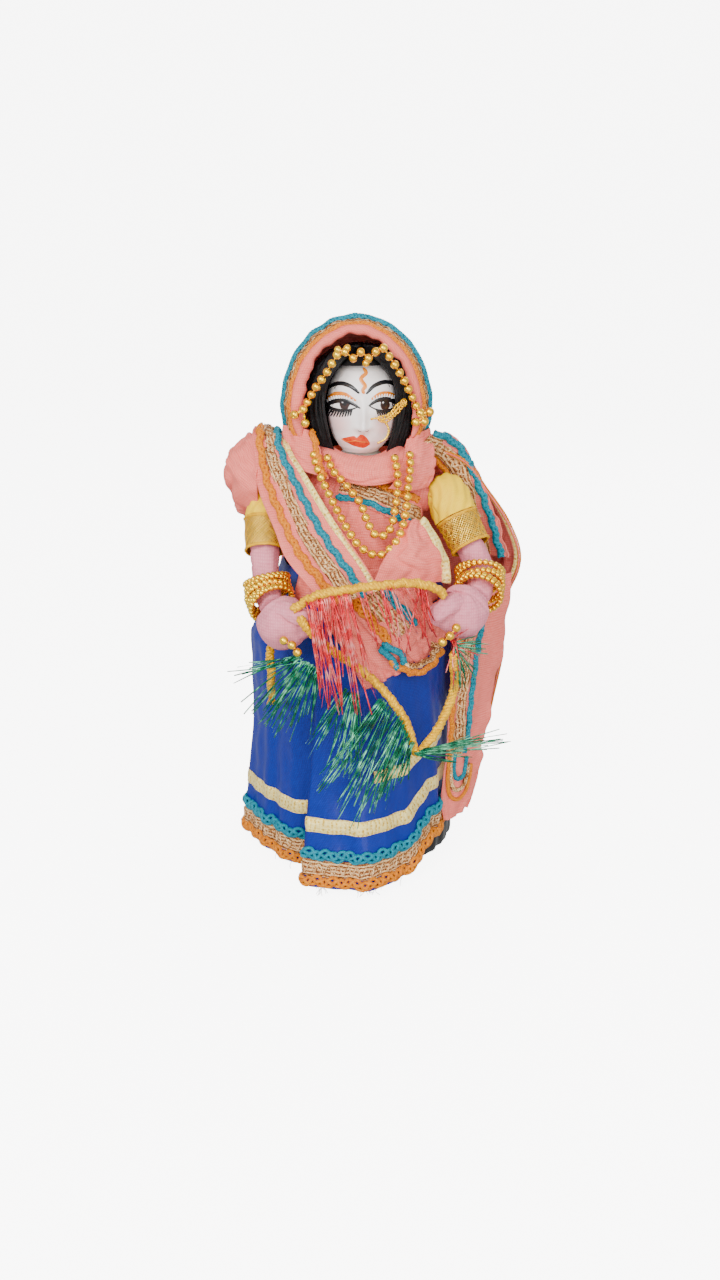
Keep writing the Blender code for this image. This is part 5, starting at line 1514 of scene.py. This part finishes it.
def build_arm(side):
    plan = ARMS[side]
    body = side + "_arm"
    seed = 61 if side == "left" else 71
    line = np.array([spline(plan["route"], u) for u in np.linspace(0, 1, 201)])

    def wide(share):
        return float(along(ARM_WIDTH, share))

    flesh = span(line, 0.13, 1.0, 90)
    radii = rounded([(0, wide(0.13)), (0.2, wide(0.3)), (0.54, wide(0.6)), (1, wide(1.0))],
                    np.linspace(0, 1, 90), 52, 2.5)
    stuffed(side + "_arm_cotton", flesh, radii, "skin", body, "skin_cloth", [side + "_arm"], seed,
            [(0.38, 0.5, 0.02), (0.47, 0.6, -0.02), (0.62, 0.4, 0.03), (0.72, 0.5, 0.0)])
    palm = np.array([spline(plan["hand"], u) for u in np.linspace(0, 1, 72)])
    stuffed(side + "_hand_cotton", palm, rounded(HAND_WIDTH, np.linspace(0, 1, 72), 30, 1.4), "skin",
            body, "skin_cloth",
            [side + "_hand"], seed + 1,
            [(0.10, 0.8, 0.02), (0.27, 0.6, 0.05), (0.42, 0.75, -0.06), (0.56, 0.7, 0.07),
                                    (0.68, 0.8, 0.03), (0.82, 0.5, 0.0)])

    thumb = np.array([spline(plan["thumb"], u) for u in np.linspace(0, 1, 30)])
    stuffed(side + "_thumb_cotton", thumb,
            rounded([(0, 4.6), (0.5, 3.7), (1, 2.6)], np.linspace(0, 1, 30), 16, 2.2),
            "skin", body, "skin_cloth", [], seed + 4, [(0.3, 0.3, 0.03), (0.62, 0.35, 0.0)])

    for label, first, last, spread, look, slot, ripple, thick in (
            ("sleeve", 0.08, 0.345, plan["sleeve"] - 0.3, "yellow", "yellow_cloth", 0.35, 0.5),
            ("armband", 0.36, 0.55, 2.1, "mesh", "gold_braid", 0.12, 0.4)):
        part = span(line, first, last, 44)
        ahead, up, across = frames(part)
        grid, out = [], []
        for k, centre in enumerate(part):
            share = first + (last - first) * k / 43
            cap = math.sqrt(max(0.05, 1 - max(0.0, 1 - k / 9) ** 2)) if label == "sleeve" else 1.0
            row, row_out = [], []
            for t in np.linspace(0, 2 * math.pi, 73):
                direction = math.cos(t) * across[k] + math.sin(t) * up[k]
                fold = ripple * (math.sin(11 * t + 0.3 * k) + 0.6 * math.sin(5 * t - 0.2 * k))
                row.append(centre + direction * (wide(share) * cap + spread + fold))
                row_out.append(direction)
            grid.append(row)
            out.append(row_out)
        grid, out = np.array(grid), np.array(out)
        cloth(side + "_" + label + "_cloth", grid, look, body, slot, [side + "_" + label], thick=thick,
              held="stretched", rests_on=[side + "_arm_cotton"], normals=out)
        edges = Parts()
        for k in (0, -1) if label == "armband" else (-1,):
            rim, ups = fine(grid[k], out[k], 0.4)
            if label == "armband":
                plait(edges, rim, ups, 1.6, 0.38, 3.0)
            else:
                tube(edges, rim, 0.35, 6, ups)
        if label == "armband":
            for twist in (-1, 1):
                for start in range(0, 72, 6):
                    turns = [int(start + twist * k * 0.5) % 72 for k in range(44)]
                    wire = np.array([grid[k][i] + out[k][i] * 0.3 for k, i in enumerate(turns)])
                    tube(edges, wire, 0.16, 5)
        edges.piece(side + "_" + label + "_edge", "gold" if label == "armband" else "yellow", body, slot)

    sign = -1 if side == "left" else 1
    shoulder = even_line([(sign * 19, -5, 168), (sign * 26, -6.5, 167), (sign * 33, -7, 166)], 0.8)
    yoke = Parts()
    tube(yoke, shoulder, rounded([(0, 8.6), (0.6, 8.0), (1, 7.4)], np.linspace(0, 1, len(shoulder)), 14,
                                 3.0), 40)
    yoke.piece(side + "_shoulder_yoke", "pink", "root", "pink_cloth")

    random = np.random.default_rng(seed + 2)
    bangles = Parts()
    centres = span(line, 0.73, 0.93, 7)
    ahead, up, across = frames(centres)
    for k, centre in enumerate(centres):
        tilt = ahead[k] + random.normal(0, 0.09, 3)
        first = unit(np.cross(tilt, up[k]))
        other = unit(np.cross(tilt, first))
        ring = 9.2 + random.uniform(-0.5, 0.7)
        turns = np.arange(26) * 2 * math.pi / 26 + random.uniform(0, 1)
        loop = [centre + ring * (math.cos(t) * first + math.sin(t) * other) for t in turns]
        for i, spot in enumerate(loop):
            bead(bangles, spot, loop[(i + 1) % 26] - spot, 1.3, 9, 5)
    bangles.piece(side + "_bangle_coils", "bead", body, "gold_bead", [side + "_bangles"])
    rings = Parts()
    bead_string(rings, plan["ring"], 1.9, 1.02, seed + 3)
    rings.piece(side + "_ring_string", "bead", body, "gold_bead", [side + "_ring_beads"])


def build_garland():
    for name, route, node in (("garland_top_rope", GARLAND_UPPER, "garland_upper_strand"),
                              ("garland_loop_rope", GARLAND_LOWER, "garland_lower_strand")):
        line = even_line(route, 0.32)
        sway = np.arange(len(line)) * 0.32
        line[:, 2] += 0.25 * np.sin(sway * 1.1)
        parts = Parts()
        rope(parts, line, 2.0, 4.4)
        made = parts.piece(name, "gold", "garland", "gold_braid", [node])
        length = np.linalg.norm(np.diff(line, axis=0), axis=1).sum() * MM
    tail = Parts()
    line = even_line(GOLD_TAIL, 0.32)
    rope(tail, line, 2.0, 4.4)
    bead(tail, line[-1] - [0, 0, 0.3], (0, 0, 1), 1.7)
    random = np.random.default_rng(81)
    for _ in range(16):
        foot = line[-1] + [random.normal(0, 1.0), random.normal(0, 0.9), -random.uniform(2.5, 4.6)]
        tube(tail, even_line([line[-1], (line[-1] + foot) / 2 + random.normal(0, 0.3, 3), foot], 0.8),
             0.18, 4)
    tail.piece("gold_tail_rope", "gold", "gold_tail", "gold_braid", ["garland_gold_tail"])


def needles(parts, count, spread, roots, tips, seed):
    """Thin foil needles, each nearly straight, that run from along one line to along another."""
    random = np.random.default_rng(seed)
    for _ in range(count):
        share = random.uniform(0, 1)
        start = spline(roots, share) + random.normal(0, 0.5, 3)
        end = spline(tips, min(max(share + random.normal(0, 0.16), 0.0), 1.0))
        end = start + (end - start) * random.uniform(0.7, 1.14) + random.normal(0, spread, 3)
        bow = random.normal(0, 0.022, 3) * np.linalg.norm(end - start)
        line = even_line([start, (start + end) / 2 + bow, end], 4.5)
        turn = random.uniform(0, 6.28) + np.linspace(0, random.uniform(0.5, 3.0), len(line))
        ups = np.stack([np.cos(turn), np.sin(turn), 0.3 * np.sin(turn)], 1)
        tube(parts, line, np.linspace(0.42, 0.28, len(line)), 4, ups, 0.22)


def build_tinsel():
    tufts = {}
    for seed, (node, look, count, spread, roots, tips) in enumerate(TINSEL, 91):
        needles(tufts.setdefault((node, look), Parts()), count, spread, roots, tips, seed)
    for (node, look), parts in tufts.items():
        parts.piece(node + "_needles", look, "garland", look.replace("foil", "tinsel"), [node])


# ---------------------------------------------------------------- the frame's own nodes, and the studio


def dress_nodes():
    """Gives the CAD nodes that still show their own materials."""
    wanted = {"base_board": "wood", "body_post": "wood", "body_padding": "wadding",
              "shoulder_wire": "wire", "left_arm_wire": "wire", "right_arm_wire": "wire"}
    for name, look in wanted.items():
        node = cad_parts[name]
        node.data.materials.clear()
        node.data.materials.append(LOOKS[look])


def studio():
    floor = Parts()
    rings = [[polar(a, r, -0.05) for a in range(0, 360, 6)] for r in (0.1, 400.0, 1500.0, 6000.0, 12000.0)]
    floor.add(np.array(rings).reshape(-1, 3), grid_faces(60, 5, wrap=True))
    mesh = bpy.data.meshes.new("studio_floor")
    mesh.from_pydata([tuple(p) for p in np.concatenate(floor.points) * MM], [], floor.faces)
    ground = bpy.data.objects.new("studio_floor", mesh)
    ground.data.materials.append(floor_look())
    bpy.context.scene.collection.objects.link(ground)
    ground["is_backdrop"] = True

    dome = bpy.data.meshes.new("studio_dome")
    rows = [[polar(a, 11900 * math.cos(t), 11900 * math.sin(t) - 60) for a in range(0, 360, 6)]
            for t in np.linspace(0, 1.56, 16)]
    dome.from_pydata([tuple(np.array(p) * MM) for row in rows for p in row], [],
                     grid_faces(60, 16, wrap=True))
    backdrop = bpy.data.objects.new("studio_dome", dome)
    dome.materials.append(ground.data.materials[0])
    bpy.context.scene.collection.objects.link(backdrop)
    backdrop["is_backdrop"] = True
    backdrop.visible_shadow = False
    for thing in (ground, backdrop):
        thing.visible_diffuse = False
        thing.visible_glossy = False

    world = bpy.data.worlds.new("studio")
    bpy.context.scene.world = world
    world.use_nodes = True
    world.node_tree.nodes["Background"].inputs["Color"].default_value = (1.0, 1.0, 1.0, 1.0)
    world.node_tree.nodes["Background"].inputs["Strength"].default_value = 0.8
    for name, place, size, power in (("key", (-420, -760, 700), 0.55, 11.0),
                                     ("fill", (300, -760, 300), 0.8, 6.0),
                                     ("back", (250, 700, 620), 0.6, 3.0)):
        lamp = bpy.data.lights.new(name, "AREA")
        lamp.shape = "DISK"
        lamp.size = size
        lamp.energy = power
        stand = bpy.data.objects.new(name, lamp)
        bpy.context.scene.collection.objects.link(stand)
        spot = Vector(place) * MM
        stand.location = spot
        stand.rotation_euler = (Vector((0, 0, 0.12)) - spot).to_track_quat("-Z", "Y").to_euler()
        stand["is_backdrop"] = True

    lens = bpy.data.cameras.new("photo_view")
    lens.lens = 35.16
    lens.sensor_width = 36.0
    camera = bpy.data.objects.new("photo_view", lens)
    camera.location = EYE * MM
    camera.rotation_euler = (math.radians(70), 0.0, 0.0)
    bpy.context.scene.collection.objects.link(camera)
    bpy.context.scene.camera = camera


def main():
    dress_nodes()
    build_base()
    build_wadding()
    build_skirt()
    build_hem_threads()
    build_arm("left")
    build_arm("right")
    build_saree()
    _, on_face = build_face()
    build_paint(on_face)
    build_hair()
    build_hood()
    build_head_beads()
    build_nose_ring()
    build_necklaces()
    build_garland()
    build_tinsel()
    studio()
    boxes = {"cad": CAD_BOX, "visual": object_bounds()}
    {name: [list(map(float, corner)) for corner in box] for name, box in boxes.items()}


main()
